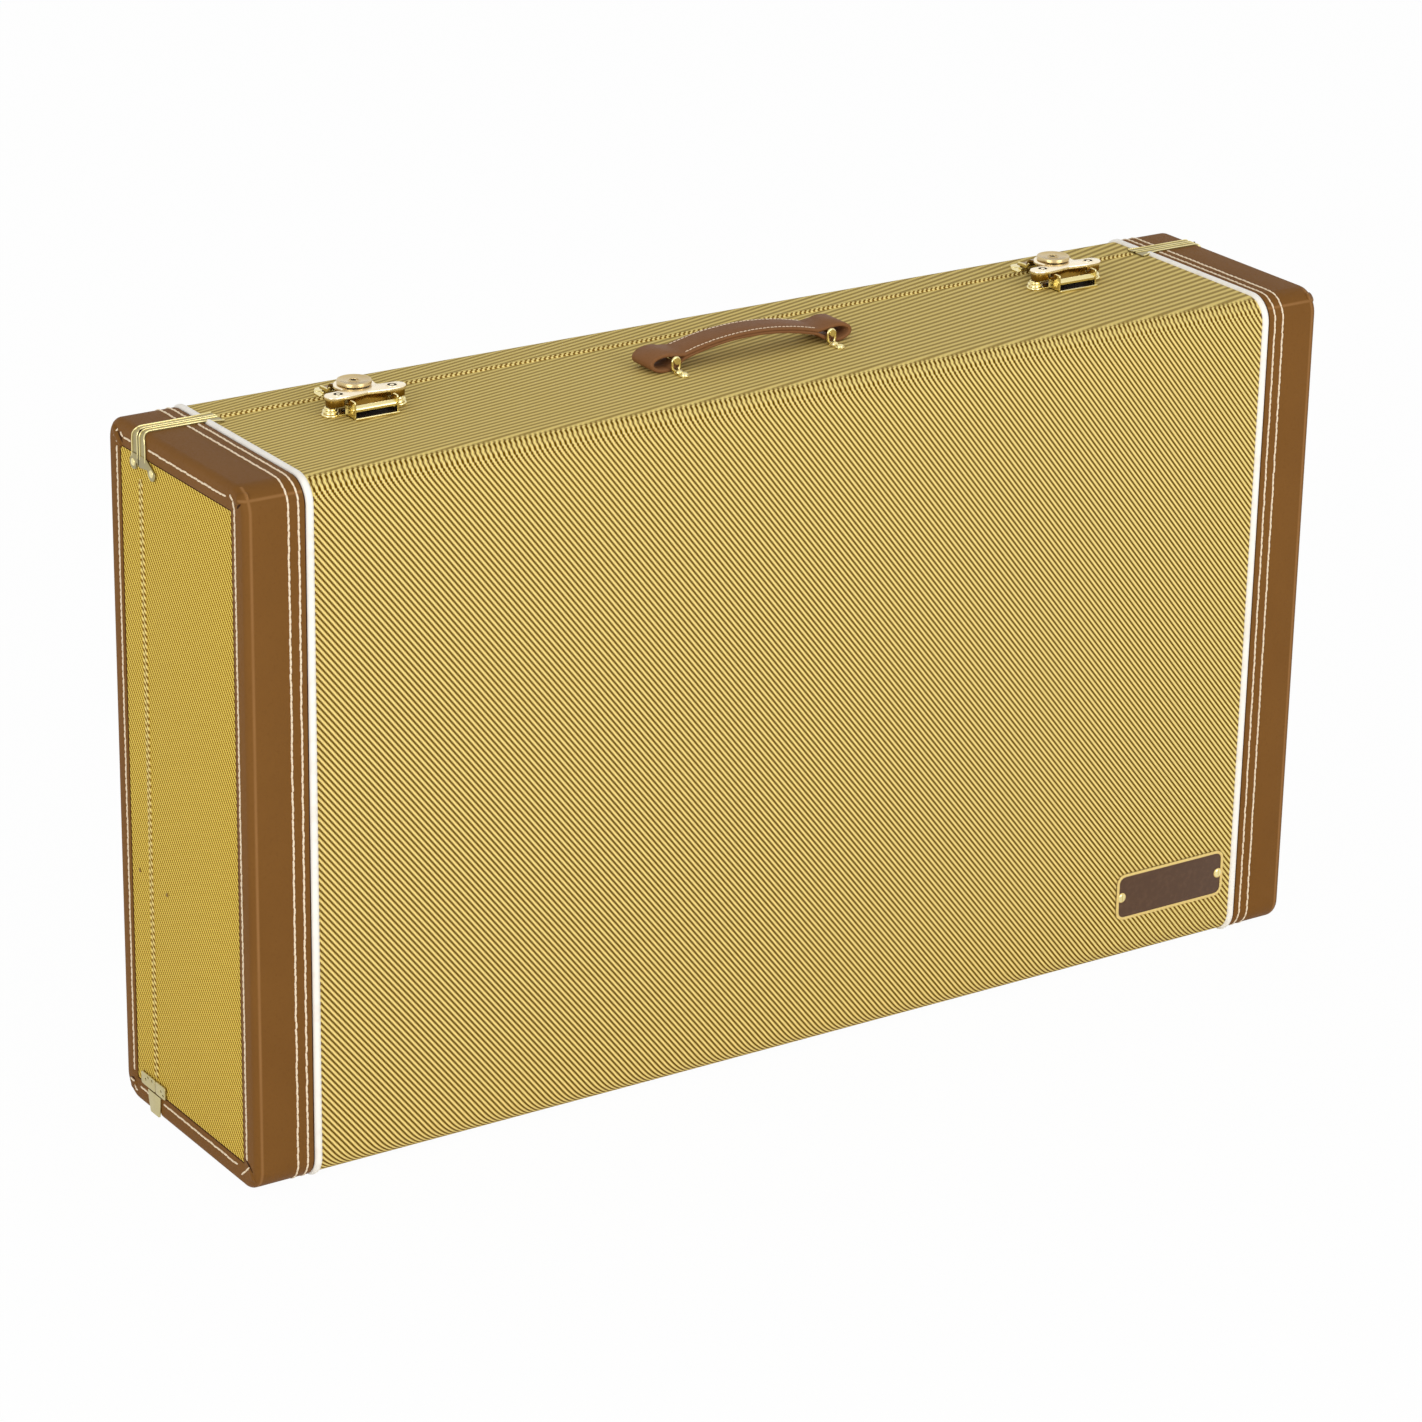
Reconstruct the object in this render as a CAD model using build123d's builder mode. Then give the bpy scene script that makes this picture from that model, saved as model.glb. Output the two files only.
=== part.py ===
"""Hard-shell pedal case: a deep half, a thin lid hinged along its bottom edge, and its hardware.

Millimetres. The case stands on its hinge side: +X along its length, +Y towards the lid, +Z up.
The origin is at the bottom centre.
"""
from build123d import *
import os

os.makedirs("parts", exist_ok=True)

# Outside of the case, measured over the leather
LENGTH = 850.0
DEPTH = 184.0
HEIGHT = 482.0
LID_DEPTH = 45.0
SEAM_GAP = 0.6
LONG_EDGE_R = 17.0
END_EDGE_R = 4.5

# Boards and their coverings
BOARD = 8.0
LEATHER = 1.2
TWEED = 0.8
LINING = 2.0
BAND_WIDTH = 43.2
BORDER = 17.0
PIPING_R = 2.8

# Tongue that locates the lid on three sides
TONGUE = 2.0
TONGUE_REACH = 8.0
TONGUE_ROOT = 16.0
TONGUE_CLEARANCE = 1.2
TONGUE_FOOT = 20.0

# Hinges under the bottom seam
PIVOT_Z = 3.0
GROOVE_R = 5.2
KNUCKLE_R = 2.5
HINGE_PIN_R = 1.25
RUNNING_FIT = 0.05
HINGE_SPACING = 270.0
HINGE_LENGTH = 60.0
HINGE_KNUCKLE = 20.0
LEAF = 1.0
LEAF_DEPTH = 22.0
AXIAL_GAP = 0.2

# Folding lid stays
STAY_R = 168.8
STAY_DEEP_Y = 22.0
STAY_LID_Y = 16.0
STAY_BAR = 10.0
STAY_THICKNESS = 2.0
STAY_GAP = 1.0
STAY_LAYER_GAP = 0.4
STAY_PIN_R = 2.5
STAY_OPEN_CLEARANCE = 0.3
STAY_HEAD_R = 4.5
STAY_HEAD = 1.2

# Latches
LATCH_INSET = 144.0
LATCH_SHEET = 1.2
EAR_SPAN = 32.4
EAR_FRONT_Y = -4.5
EAR_REAR_Y = 9.0
EAR_R = 5.8
EAR_REAR_HEIGHT = 8.2
HASP_PIVOT_Y = -0.5
HASP_PIVOT_H = 5.7
HASP_PIN_R = 1.2
HASP_KNUCKLE_R = 2.6
BASE_REAR_Y = 20.0
BASE_LIP = 1.6
FOOT_X = 24.0
FOOT_Y = 13.0
FOOT_R = 5.8
HASP_H = 12.0
HASP_PLATE = 1.5
LOBE_X = 19.8
LOBE_TIP_X = 29.3
LOBE_Y = 11.5
LOBE_R = 6.2
BOSS_Y = 26.0
BOSS_R = 13.5
HASP_RIVET_R = 1.6
HASP_RIVET_HOLE_R = 1.7
HASP_LUG_WIDTH = 6.4
WAIST_R = 4.0
HOOK_WIDTH = 20.0
HOOK_END_Y = 54.0
HOOK_TURN_Y = 43.0
HOOK_TOE_H = 4.2
DISC_R = 11.5
DISC = 3.0
DISC_GAP = 0.2
DISC_STEM_R = 3.0
CAM_LENGTH = 9.0
CAM = 2.0
CATCH_WIDTH = 25.0
CATCH_FRONT_Y = 49.0
CATCH_REAR_Y = 66.0
CATCH_LIP_H = 3.6
CATCH_LIP = 3.0
CATCH_RIVET_X = 8.0
CATCH_RIVET_Y = 60.0

# Handle
HANDLE_X = -3.0
HANDLE_Y = -8.0
HANDLE_WIDTH = 24.0
HANDLE_RISE = 18.4
HANDLE_MIDDLE = 4.1
NECK_X = 53.3
NECK_LOW = 6.5
NECK_HIGH = 11.3
LOOP_X = 68.3
LOOP_HALF_LENGTH = 12.4
LOOP_HALF_HEIGHT = 6.7
STRAP_PLY = 2.9
BAR_R = 1.3
BAR_X = 62.2
BAR_H = 8.0
RING_WIRE_R = 0.9
RING_HALF_WIDTH = 2.9
RING_GAP = 1.2
RING_PLAY = 0.3
HANDLE_FOOT_LENGTH = 14.0
HANDLE_FOOT_WIDTH = 7.0
HANDLE_FOOT = 1.2
HANDLE_SCREW_PITCH = 6.0

# Seam clips at the four ends of the seam
CLIP = 1.4
CLIP_REACH = 55.0
CLIP_WIDTH = 6.0
CLIP_LEG = 9.0
CLIP_LEG_LENGTH = 19.0
CLIP_FLARE = 5.0
TAB_DEEP_REACH = 17.2
TAB_LID_REACH = 7.7
TAB_DROP = 5.0
TAB_R = 5.0
BASE_CLIP_HEIGHT = 9.0
BASE_CLIP_MARGIN = 6.0
BASE_RIVET_DEEP_REACH = 8.0
BASE_RIVET_LID_REACH = 14.0
BASE_TAB_WIDTH = 7.0
BASE_TAB_TOP = 13.0
BASE_TAB_GAP = 0.4

# Name plate, bare, low on the front
PLATE_END_MARGIN = 7.45
PLATE_BASE_MARGIN = 34.4
PLATE_LENGTH = 96.7
PLATE_HEIGHT = 35.4
PLATE = 1.4
PLATE_CORNER_R = 5.5
PLATE_SCREW_INSET = 4.5

# How far a cutting shape or a root runs past the face that it meets
PAST = 1.0

# Small round heads
HEAD_R = 2.6
HEAD = 0.6
RIVET_R = 3.4
RIVET = 1.4

# Places worked out from the sizes above
END_X = LENGTH / 2
BAND_X = END_X - BAND_WIDTH
PIPING_X = BAND_X - PIPING_R
TWEED_X = PIPING_X - PIPING_R
BOARD_END_X = END_X - LEATHER
INNER_X = BOARD_END_X - BOARD
INNER_Y = DEPTH / 2 - LEATHER - BOARD
INNER_Z = LEATHER + BOARD
SEAM_Y = DEPTH / 2 - LID_DEPTH
TWEED_TOP = HEIGHT - LEATHER + TWEED
TWEED_Y = DEPTH / 2 - LEATHER + TWEED
TWEED_END_X = END_X - LEATHER + TWEED
BASE_CLIP_Z = BORDER
LATCH_X = END_X - LATCH_INSET
CLIP_INNER_X = END_X - CLIP_REACH
PLATE_X = TWEED_X - PLATE_END_MARGIN - PLATE_LENGTH / 2
PLATE_Z = PLATE_BASE_MARGIN + PLATE_HEIGHT / 2
DEEP = -1
LID = 1
SIDES = {"deep": DEEP, "lid": LID}
ENDS = {"left": -1, "right": 1}


def seam(side):
    """Y of the seam face of one half."""
    return SEAM_Y + side * SEAM_GAP / 2


def block(low, high, mode=Mode.ADD):
    """A box between two corners, given in any order."""
    centre = [(a + b) / 2 for a, b in zip(low, high)]
    with Locations(tuple(centre)):
        Box(*[abs(b - a) for a, b in zip(low, high)], mode=mode)


def rod(centre, radius, length, turn=(0, 0, 0), mode=Mode.ADD):
    """A cylinder about its own middle, turned from Z."""
    with Locations(Location(centre, turn)):
        Cylinder(radius, length, mode=mode)


ALONG_X = (0, 90, 0)
ALONG_Y = (90, 0, 0)
ALONG_Z = (0, 0, 0)


def groove(mode=Mode.SUBTRACT):
    """Room for the hinge knuckles and for the turning seam edges."""
    rod((0, SEAM_Y, PIVOT_Z), GROOVE_R, LENGTH + 2 * GROOVE_R, ALONG_X, mode)


def half_section(side, inset, x, past=0.0):
    """Rounded section of one half, inset from the leather, with its seam face moved past the seam."""
    outer = side * (DEPTH / 2 - inset)
    inner = seam(side) - side * past
    with BuildSketch(Plane.YZ.offset(x)) as section:
        with Locations(((outer + inner) / 2, HEIGHT / 2)):
            Rectangle(abs(outer - inner), HEIGHT - 2 * inset)
        fillet(section.vertices().group_by(Axis.X)[0 if side < 0 else -1], LONG_EDGE_R - inset)
    return section.sketch


def half_blank(side, end, inset, inner_x, past=0.0):
    """Solid end of one half, with its end edge rounded all round but not at the seam."""
    with BuildPart() as blank:
        extrude(half_section(side, inset, end * inner_x, past), amount=end * (END_X - inset - inner_x))
        outline = blank.faces().sort_by(Axis.X)[0 if end < 0 else -1].edges()
        seam_y = seam(side) - side * past
        fillet(outline.filter_by(lambda e: abs(e.center().Y - seam_y) > SEAM_GAP / 2), END_EDGE_R - inset)
    return blank.part


def name_part(part, name):
    """Label a finished piece and write its file."""
    part.label = name
    export_step(part, "parts/" + name + ".step")


# Boards: one flat face, a rounded top and bottom, and two ends for each half
def leaf_spots():
    """X centres of the three hinges."""
    return [-HINGE_SPACING, 0.0, HINGE_SPACING]


def cut_leaf_seats(side):
    """Seats for the hinge leaves, as deep as the leaves are high."""
    for x in leaf_spots():
        low = (x - HINGE_LENGTH / 2, SEAM_Y, 0)
        high = (x + HINGE_LENGTH / 2, SEAM_Y + side * LEAF_DEPTH, PIVOT_Z - KNUCKLE_R + LEAF)
        block(low, high, Mode.SUBTRACT)


for name, side in SIDES.items():
    outer_y = side * (DEPTH / 2 - LEATHER)
    inner_y = side * INNER_Y
    with BuildPart() as face_board:
        block((-INNER_X, outer_y, LONG_EDGE_R), (INNER_X, inner_y, HEIGHT - LONG_EDGE_R))
    name_part(face_board.part, name + "_face_board")

    for place, low_z, high_z in (("bottom", 0, LONG_EDGE_R), ("top", HEIGHT - LONG_EDGE_R, HEIGHT)):
        with BuildPart() as edge_board:
            extrude(half_section(side, LEATHER, -INNER_X), amount=2 * INNER_X)
            block((-LENGTH, -DEPTH, low_z), (LENGTH, DEPTH, high_z), Mode.INTERSECT)
            seam_side_y = seam(side) - side * PAST
            block((-LENGTH, seam_side_y, INNER_Z), (LENGTH, inner_y, HEIGHT - INNER_Z), Mode.SUBTRACT)
            if place == "bottom":
                groove()
                cut_leaf_seats(side)
        name_part(edge_board.part, name + "_" + place + "_board")

    for hand, end in ENDS.items():
        with BuildPart() as end_board:
            add(half_blank(side, end, LEATHER, INNER_X))
            groove()
        name_part(end_board.part, name + "_end_board_" + hand)


# Tweed: one wrap over face, top and bottom, and a panel let into each end
for name, side in SIDES.items():
    with BuildPart() as wrap:
        extrude(half_section(side, LEATHER - TWEED, -TWEED_X), amount=2 * TWEED_X)
        extrude(half_section(side, LEATHER, -END_X, past=PAST), amount=LENGTH, mode=Mode.SUBTRACT)
        groove()
        cut_leaf_seats(side)
    name_part(wrap.part, name + "_tweed_wrap")

    with BuildPart() as end_tweed:
        for end in ENDS.values():
            block(
                (end * BOARD_END_X, side * (DEPTH / 2 - BORDER), BORDER),
                (end * TWEED_END_X, seam(side), HEIGHT - BORDER),
            )
    name_part(end_tweed.part, name + "_tweed_ends")


# Leather: a cap over each end of each half, and the flat strips that the case stands on
def base_strip(side, end, mode=Mode.ADD):
    """Flat leather under one end of one half."""
    block(
        (end * BAND_X, side * (DEPTH / 2 - LONG_EDGE_R), 0),
        (end * (END_X - END_EDGE_R), seam(side), LEATHER),
        mode,
    )


for name, side in SIDES.items():
    for hand, end in ENDS.items():
        with BuildPart() as cap:
            add(half_blank(side, end, 0, BAND_X))
            add(half_blank(side, end, LEATHER, BAND_X - PAST, past=PAST), mode=Mode.SUBTRACT)
            block(
                (0, side * (DEPTH / 2 - BORDER), BORDER),
                (end * LENGTH, seam(side) - side * LEATHER, HEIGHT - BORDER),
                Mode.SUBTRACT,
            )
            base_strip(side, end, Mode.SUBTRACT)
            groove()
        name_part(cap.part, name + "_leather_" + hand)

    with BuildPart() as base:
        for end in ENDS.values():
            base_strip(side, end)
        groove()
    name_part(base.part, name + "_leather_base")


# Piping: a bead beside each leather band, pressed flat where the case stands on it
for name, side in SIDES.items():
    cover = CLIP_WIDTH + (CLIP_FLARE if side == DEEP else 0)
    start_y = SEAM_Y + side * (cover + AXIAL_GAP)
    outer_y = side * (DEPTH / 2 - LEATHER)
    with BuildPart() as piping:
        for end in ENDS.values():
            with BuildLine(Plane.YZ.offset(end * PIPING_X)) as route:
                FilletPolyline(
                    (start_y, HEIGHT - LEATHER),
                    (outer_y, HEIGHT - LEATHER),
                    (outer_y, LEATHER),
                    (SEAM_Y + side * GROOVE_R, LEATHER),
                    radius=LONG_EDGE_R - LEATHER,
                )
            start = route.wire() @ 0
            with BuildSketch(Plane(start, x_dir=(-side, 0, 0), z_dir=route.wire() % 0)):
                Circle(PIPING_R)
                Rectangle(2 * PIPING_R, PIPING_R, align=(Align.CENTER, Align.MAX), mode=Mode.SUBTRACT)
            sweep(path=route.wire())
        block((-LENGTH, -DEPTH, -PIPING_R), (LENGTH, DEPTH, 0), Mode.SUBTRACT)
    name_part(piping.part, name + "_piping")


# Tongue: two side strips and a top strip, rooted in the deep half
lip_x = INNER_X - TONGUE_CLEARANCE
lip_z = HEIGHT - INNER_Z - TONGUE_CLEARANCE
root_y = SEAM_Y - TONGUE_ROOT
for hand, end in ENDS.items():
    with BuildPart() as side_tongue:
        block(
            (end * lip_x, root_y, TONGUE_FOOT),
            (end * (lip_x - TONGUE), SEAM_Y + TONGUE_REACH, lip_z - TONGUE - AXIAL_GAP),
        )
        block((end * INNER_X, root_y, TONGUE_FOOT), (end * lip_x, seam(DEEP), lip_z - TONGUE - AXIAL_GAP))
    name_part(side_tongue.part, "tongue_" + hand)

with BuildPart() as top_tongue:
    block((-lip_x, root_y, lip_z - TONGUE), (lip_x, SEAM_Y + TONGUE_REACH, lip_z))
    block((-lip_x, root_y, lip_z), (lip_x, seam(DEEP), HEIGHT - INNER_Z))
name_part(top_tongue.part, "tongue_top")


# Plush lining: a tray glued into each half, stopping short of the tongue
STAY_Z = {
    DEEP: PIVOT_Z + (STAY_R ** 2 - STAY_DEEP_Y ** 2) ** 0.5,
    LID: PIVOT_Z + (STAY_R ** 2 - STAY_LID_Y ** 2) ** 0.5,
}
STAY_Y = {DEEP: SEAM_Y - STAY_DEEP_Y, LID: SEAM_Y + STAY_LID_Y}

for name, side in SIDES.items():
    rim_y = root_y if side == DEEP else SEAM_Y + TONGUE_REACH + TONGUE_CLEARANCE
    with BuildPart() as lining:
        block((-INNER_X, side * INNER_Y, INNER_Z), (INNER_X, rim_y, HEIGHT - INNER_Z))
        block(
            (-INNER_X + LINING, side * (INNER_Y - LINING), INNER_Z + LINING),
            (INNER_X - LINING, rim_y - side * LINING, HEIGHT - INNER_Z - LINING),
            Mode.SUBTRACT,
        )
        rod((0, STAY_Y[side], STAY_Z[side]), STAY_PIN_R + RUNNING_FIT, LENGTH, ALONG_X, Mode.SUBTRACT)
    name_part(lining.part, name + "_lining")


# Hinges: three pairs of leaves with their knuckles, and three pins
def knuckle_spans(side):
    """X spans of the knuckles about a hinge's middle: two on the deep leaf, one on the lid leaf."""
    middle = HINGE_KNUCKLE / 2
    if side == LID:
        return [(-middle + AXIAL_GAP, middle - AXIAL_GAP)]
    return [(-HINGE_LENGTH / 2, -middle), (middle, HINGE_LENGTH / 2)]


leaf_low = PIVOT_Z - KNUCKLE_R
for name, side in SIDES.items():
    with BuildPart() as leaves:
        for x in leaf_spots():
            block(
                (x - HINGE_LENGTH / 2, SEAM_Y + side * (GROOVE_R + AXIAL_GAP), leaf_low),
                (x + HINGE_LENGTH / 2, SEAM_Y + side * LEAF_DEPTH, leaf_low + LEAF),
            )
            for start_x, stop_x in knuckle_spans(side):
                block(
                    (x + start_x, SEAM_Y, leaf_low),
                    (x + stop_x, SEAM_Y + side * (GROOVE_R + PAST), leaf_low + LEAF),
                )
                middle = (x + (start_x + stop_x) / 2, SEAM_Y, PIVOT_Z)
                rod(middle, KNUCKLE_R, stop_x - start_x, ALONG_X)
        for x in leaf_spots():
            rod((x, SEAM_Y, PIVOT_Z), HINGE_PIN_R + RUNNING_FIT, 2 * HINGE_LENGTH, ALONG_X, Mode.SUBTRACT)
    name_part(leaves.part, "hinge_leaves_" + name)

with BuildPart() as pins:
    for x in leaf_spots():
        rod((x, SEAM_Y, PIVOT_Z), HINGE_PIN_R, HINGE_LENGTH, ALONG_X)
name_part(pins.part, "hinge_pins")


# Lid stays: two equal bars at each end, and the studs that carry them
lower_bar_x = lip_x - TONGUE - STAY_GAP
upper_bar_x = lower_bar_x - STAY_THICKNESS - STAY_LAYER_GAP
elbow_y = SEAM_Y - STAY_DEEP_Y + STAY_LID_Y
elbow_z = STAY_Z[DEEP] + STAY_Z[LID] - PIVOT_Z


def stay_bar(end, outer_x, low, high):
    """Flat bar with round ends between two points of the YZ plane."""
    run = (Vector(*high) - Vector(*low)).length
    along = Vector(0, high[0] - low[0], high[1] - low[1])
    plane = Plane(
        (end * outer_x, (low[0] + high[0]) / 2, (low[1] + high[1]) / 2),
        x_dir=along,
        z_dir=(-end, 0, 0),
    )
    with BuildSketch(plane) as outline:
        SlotCenterToCenter(run, STAY_BAR)
    extrude(outline.sketch, amount=STAY_THICKNESS)


for hand, end in ENDS.items():
    deep_end = (STAY_Y[DEEP], STAY_Z[DEEP])
    lid_end = (STAY_Y[LID], STAY_Z[LID])
    elbow = (elbow_y, elbow_z)
    elbow_x = end * (upper_bar_x - STAY_THICKNESS / 2)
    with BuildPart() as lower_bar:
        stay_bar(end, lower_bar_x, deep_end, elbow)
        hole = (end * lower_bar_x, *deep_end)
        rod(hole, STAY_PIN_R + RUNNING_FIT, 3 * STAY_THICKNESS, ALONG_X, Mode.SUBTRACT)
        pin_length = STAY_LAYER_GAP + STAY_THICKNESS + AXIAL_GAP
        pin_x = end * (lower_bar_x - STAY_THICKNESS - pin_length / 2)
        rod((pin_x, *elbow), STAY_PIN_R, pin_length, ALONG_X)
        head_x = end * (lower_bar_x - STAY_THICKNESS - pin_length - STAY_HEAD / 2)
        rod((head_x, *elbow), STAY_HEAD_R, STAY_HEAD, ALONG_X)
    name_part(lower_bar.part, "stay_lower_" + hand)

    with BuildPart() as upper_bar:
        stay_bar(end, upper_bar_x, lid_end, elbow)
        rod((elbow_x, *elbow), STAY_PIN_R + RUNNING_FIT, 3 * STAY_THICKNESS, ALONG_X, Mode.SUBTRACT)
        hole = (elbow_x, *lid_end)
        rod(hole, STAY_PIN_R + STAY_OPEN_CLEARANCE, 3 * STAY_THICKNESS, ALONG_X, Mode.SUBTRACT)
    name_part(upper_bar.part, "stay_upper_" + hand)

for name, side in SIDES.items():
    bar_x = lower_bar_x if side == DEEP else upper_bar_x
    with BuildPart() as studs:
        for end in ENDS.values():
            stud_end = bar_x - STAY_THICKNESS - AXIAL_GAP
            middle_x = end * (INNER_X + stud_end) / 2
            rod((middle_x, STAY_Y[side], STAY_Z[side]), STAY_PIN_R, INNER_X - stud_end, ALONG_X)
            head_x = end * (stud_end - STAY_HEAD / 2)
            rod((head_x, STAY_Y[side], STAY_Z[side]), STAY_HEAD_R, STAY_HEAD, ALONG_X)
    name_part(studs.part, "stay_studs_" + name)


# Latch: base with two ears on the deep half, hasp on a knuckle, lock disc, and a catch on the lid
pivot = (HASP_PIVOT_Y, HEIGHT + HASP_PIVOT_H)
ear_x = EAR_SPAN / 2
knuckle_half = ear_x - LATCH_SHEET - AXIAL_GAP

for hand, end in ENDS.items():
    x = end * LATCH_X

    with BuildPart() as latch_base:
        block((x - ear_x, EAR_FRONT_Y, TWEED_TOP), (x + ear_x, BASE_REAR_Y, TWEED_TOP + LATCH_SHEET))
        for way in (-1, 1):
            with BuildSketch(Plane.YZ.offset(x + way * ear_x)):
                with Locations(pivot):
                    Circle(EAR_R)
                front_height = HEIGHT - TWEED_TOP + HASP_PIVOT_H
                with Locations((EAR_FRONT_Y, TWEED_TOP)):
                    Rectangle(
                        HASP_PIVOT_Y - EAR_FRONT_Y,
                        front_height,
                        align=(Align.MIN, Align.MIN),
                    )
                with Locations((HASP_PIVOT_Y, TWEED_TOP)):
                    Rectangle(
                        EAR_REAR_Y - HASP_PIVOT_Y,
                        EAR_REAR_HEIGHT,
                        align=(Align.MIN, Align.MIN),
                    )
            extrude(amount=-way * LATCH_SHEET)
            block(
                (x + way * ear_x, FOOT_Y - FOOT_R / 2, TWEED_TOP),
                (x + way * FOOT_X, FOOT_Y + FOOT_R / 2, TWEED_TOP + LATCH_SHEET),
            )
            foot_z = TWEED_TOP + LATCH_SHEET / 2
            rod((x + way * FOOT_X, FOOT_Y, foot_z), FOOT_R, LATCH_SHEET)
        block(
            (x - ear_x, EAR_FRONT_Y, TWEED_TOP),
            (x + ear_x, EAR_FRONT_Y + LATCH_SHEET, TWEED_TOP + LATCH_SHEET + BASE_LIP),
        )
        rod((x, *pivot), HASP_PIN_R + RUNNING_FIT, 2 * EAR_SPAN, ALONG_X, Mode.SUBTRACT)
    name_part(latch_base.part, "latch_base_" + hand)

    with BuildPart() as strip:
        rod((x, *pivot), HASP_KNUCKLE_R, 2 * knuckle_half, ALONG_X)
        with BuildSketch(Plane.YZ.offset(x - knuckle_half)):
            with BuildLine():
                under = HEIGHT + HASP_H
                low = under - LATCH_SHEET
                Polyline(
                    (HASP_PIVOT_Y + LATCH_SHEET, HEIGHT + HASP_PIVOT_H),
                    (HASP_PIVOT_Y + LATCH_SHEET, HEIGHT + HASP_PIVOT_H + HASP_KNUCKLE_R),
                    (HASP_PIVOT_Y + LATCH_SHEET + HASP_PIVOT_H, under),
                    (BOSS_Y, under),
                    (BOSS_Y, low),
                    (HASP_PIVOT_Y + 2 * LATCH_SHEET + HASP_PIVOT_H, low),
                    (HASP_PIVOT_Y + HASP_KNUCKLE_R, HEIGHT + HASP_PIVOT_H),
                    close=True,
                )
            make_face()
        extrude(amount=2 * knuckle_half)
        block(
            (x - HOOK_WIDTH / 2, BOSS_Y, HEIGHT + HASP_H - LATCH_SHEET),
            (x + HOOK_WIDTH / 2, HOOK_TURN_Y, HEIGHT + HASP_H),
        )
        block(
            (x - HOOK_WIDTH / 2, HOOK_TURN_Y - LATCH_SHEET, HEIGHT + HOOK_TOE_H),
            (x + HOOK_WIDTH / 2, HOOK_TURN_Y, HEIGHT + HASP_H),
        )
        block(
            (x - HOOK_WIDTH / 2, HOOK_TURN_Y - LATCH_SHEET, HEIGHT + HOOK_TOE_H),
            (x + HOOK_WIDTH / 2, HOOK_END_Y, HEIGHT + HOOK_TOE_H + LATCH_SHEET),
        )
        for way in (-1, 1):
            stem = HASP_PLATE + LATCH_SHEET
            stem_z = HEIGHT + HASP_H - LATCH_SHEET + stem / 2
            block(
                (x + way * knuckle_half, LOBE_Y - HASP_LUG_WIDTH / 2, HEIGHT + HASP_H - LATCH_SHEET),
                (x + way * (LOBE_X + HASP_RIVET_R), LOBE_Y + HASP_LUG_WIDTH / 2, HEIGHT + HASP_H),
            )
            rod((x + way * LOBE_X, LOBE_Y, stem_z), HASP_RIVET_R, stem)
            head_z = HEIGHT + HASP_H + HASP_PLATE + HEAD / 2
            rod((x + way * LOBE_X, LOBE_Y, head_z), HEAD_R, HEAD)
        rod((x, *pivot), HASP_PIN_R + RUNNING_FIT, 2 * EAR_SPAN, ALONG_X, Mode.SUBTRACT)
        rod((x, BOSS_Y, HEIGHT + HASP_H), DISC_STEM_R + RUNNING_FIT, 2 * HASP_H, ALONG_Z, Mode.SUBTRACT)
    name_part(strip.part, "hasp_strip_" + hand)

    with BuildPart() as hasp_plate:
        with BuildSketch(Plane.XY.offset(HEIGHT + HASP_H)) as lobed:
            with Locations((x, LOBE_Y)):
                SlotOverall(2 * LOBE_TIP_X, 2 * LOBE_R)
            with Locations((x, BOSS_Y)):
                Circle(BOSS_R)
            waist = [v for v in lobed.vertices() if abs(v.X - x) < LOBE_X - PAST]
            fillet(waist, WAIST_R)
            with Locations((x - LOBE_X, LOBE_Y), (x + LOBE_X, LOBE_Y)):
                Circle(HASP_RIVET_HOLE_R, mode=Mode.SUBTRACT)
            with Locations((x, BOSS_Y)):
                Circle(DISC_STEM_R + RUNNING_FIT, mode=Mode.SUBTRACT)
        extrude(amount=HASP_PLATE)
    name_part(hasp_plate.part, "hasp_plate_" + hand)

    with BuildPart() as disc:
        disc_low = HEIGHT + HASP_H + HASP_PLATE + DISC_GAP
        cam_high = HEIGHT + HASP_H - LATCH_SHEET - DISC_GAP
        rod((x, BOSS_Y, disc_low + DISC / 2), DISC_R, DISC)
        stem_length = disc_low - cam_high + CAM
        rod((x, BOSS_Y, disc_low - stem_length / 2), DISC_STEM_R, stem_length)
        block(
            (x - DISC_STEM_R, BOSS_Y - DISC_STEM_R, cam_high - CAM),
            (x + CAM_LENGTH, BOSS_Y + DISC_STEM_R, cam_high),
        )
    name_part(disc.part, "lock_disc_" + hand)

    with BuildPart() as catch:
        block(
            (x - CATCH_WIDTH / 2, CATCH_FRONT_Y, TWEED_TOP),
            (x + CATCH_WIDTH / 2, CATCH_REAR_Y, TWEED_TOP + LATCH_SHEET),
        )
        block(
            (x - HOOK_WIDTH / 2, CATCH_FRONT_Y, TWEED_TOP),
            (x + HOOK_WIDTH / 2, CATCH_FRONT_Y + CATCH_LIP, HEIGHT + CATCH_LIP_H),
        )
        for way in (-1, 1):
            head_z = TWEED_TOP + LATCH_SHEET + HEAD / 2
            rod((x + way * CATCH_RIVET_X, CATCH_RIVET_Y, head_z), HEAD_R, HEAD)
    name_part(catch.part, "catch_plate_" + hand)

with BuildPart() as hasp_pins:
    for end in ENDS.values():
        rod((end * LATCH_X, *pivot), HASP_PIN_R, EAR_SPAN, ALONG_X)
        for way in (-1, 1):
            head_x = end * LATCH_X + way * (ear_x + HEAD / 2)
            rod((head_x, *pivot), 2 * HASP_PIN_R, HEAD, ALONG_X)
name_part(hasp_pins.part, "hasp_pins")

with BuildPart() as base_rivets:
    for end in ENDS.values():
        for way in (-1, 1):
            rivet_z = TWEED_TOP + LATCH_SHEET + RIVET / 2
            rod((end * LATCH_X + way * FOOT_X, FOOT_Y, rivet_z), RIVET_R, RIVET)
name_part(base_rivets.part, "latch_base_rivets")


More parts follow.
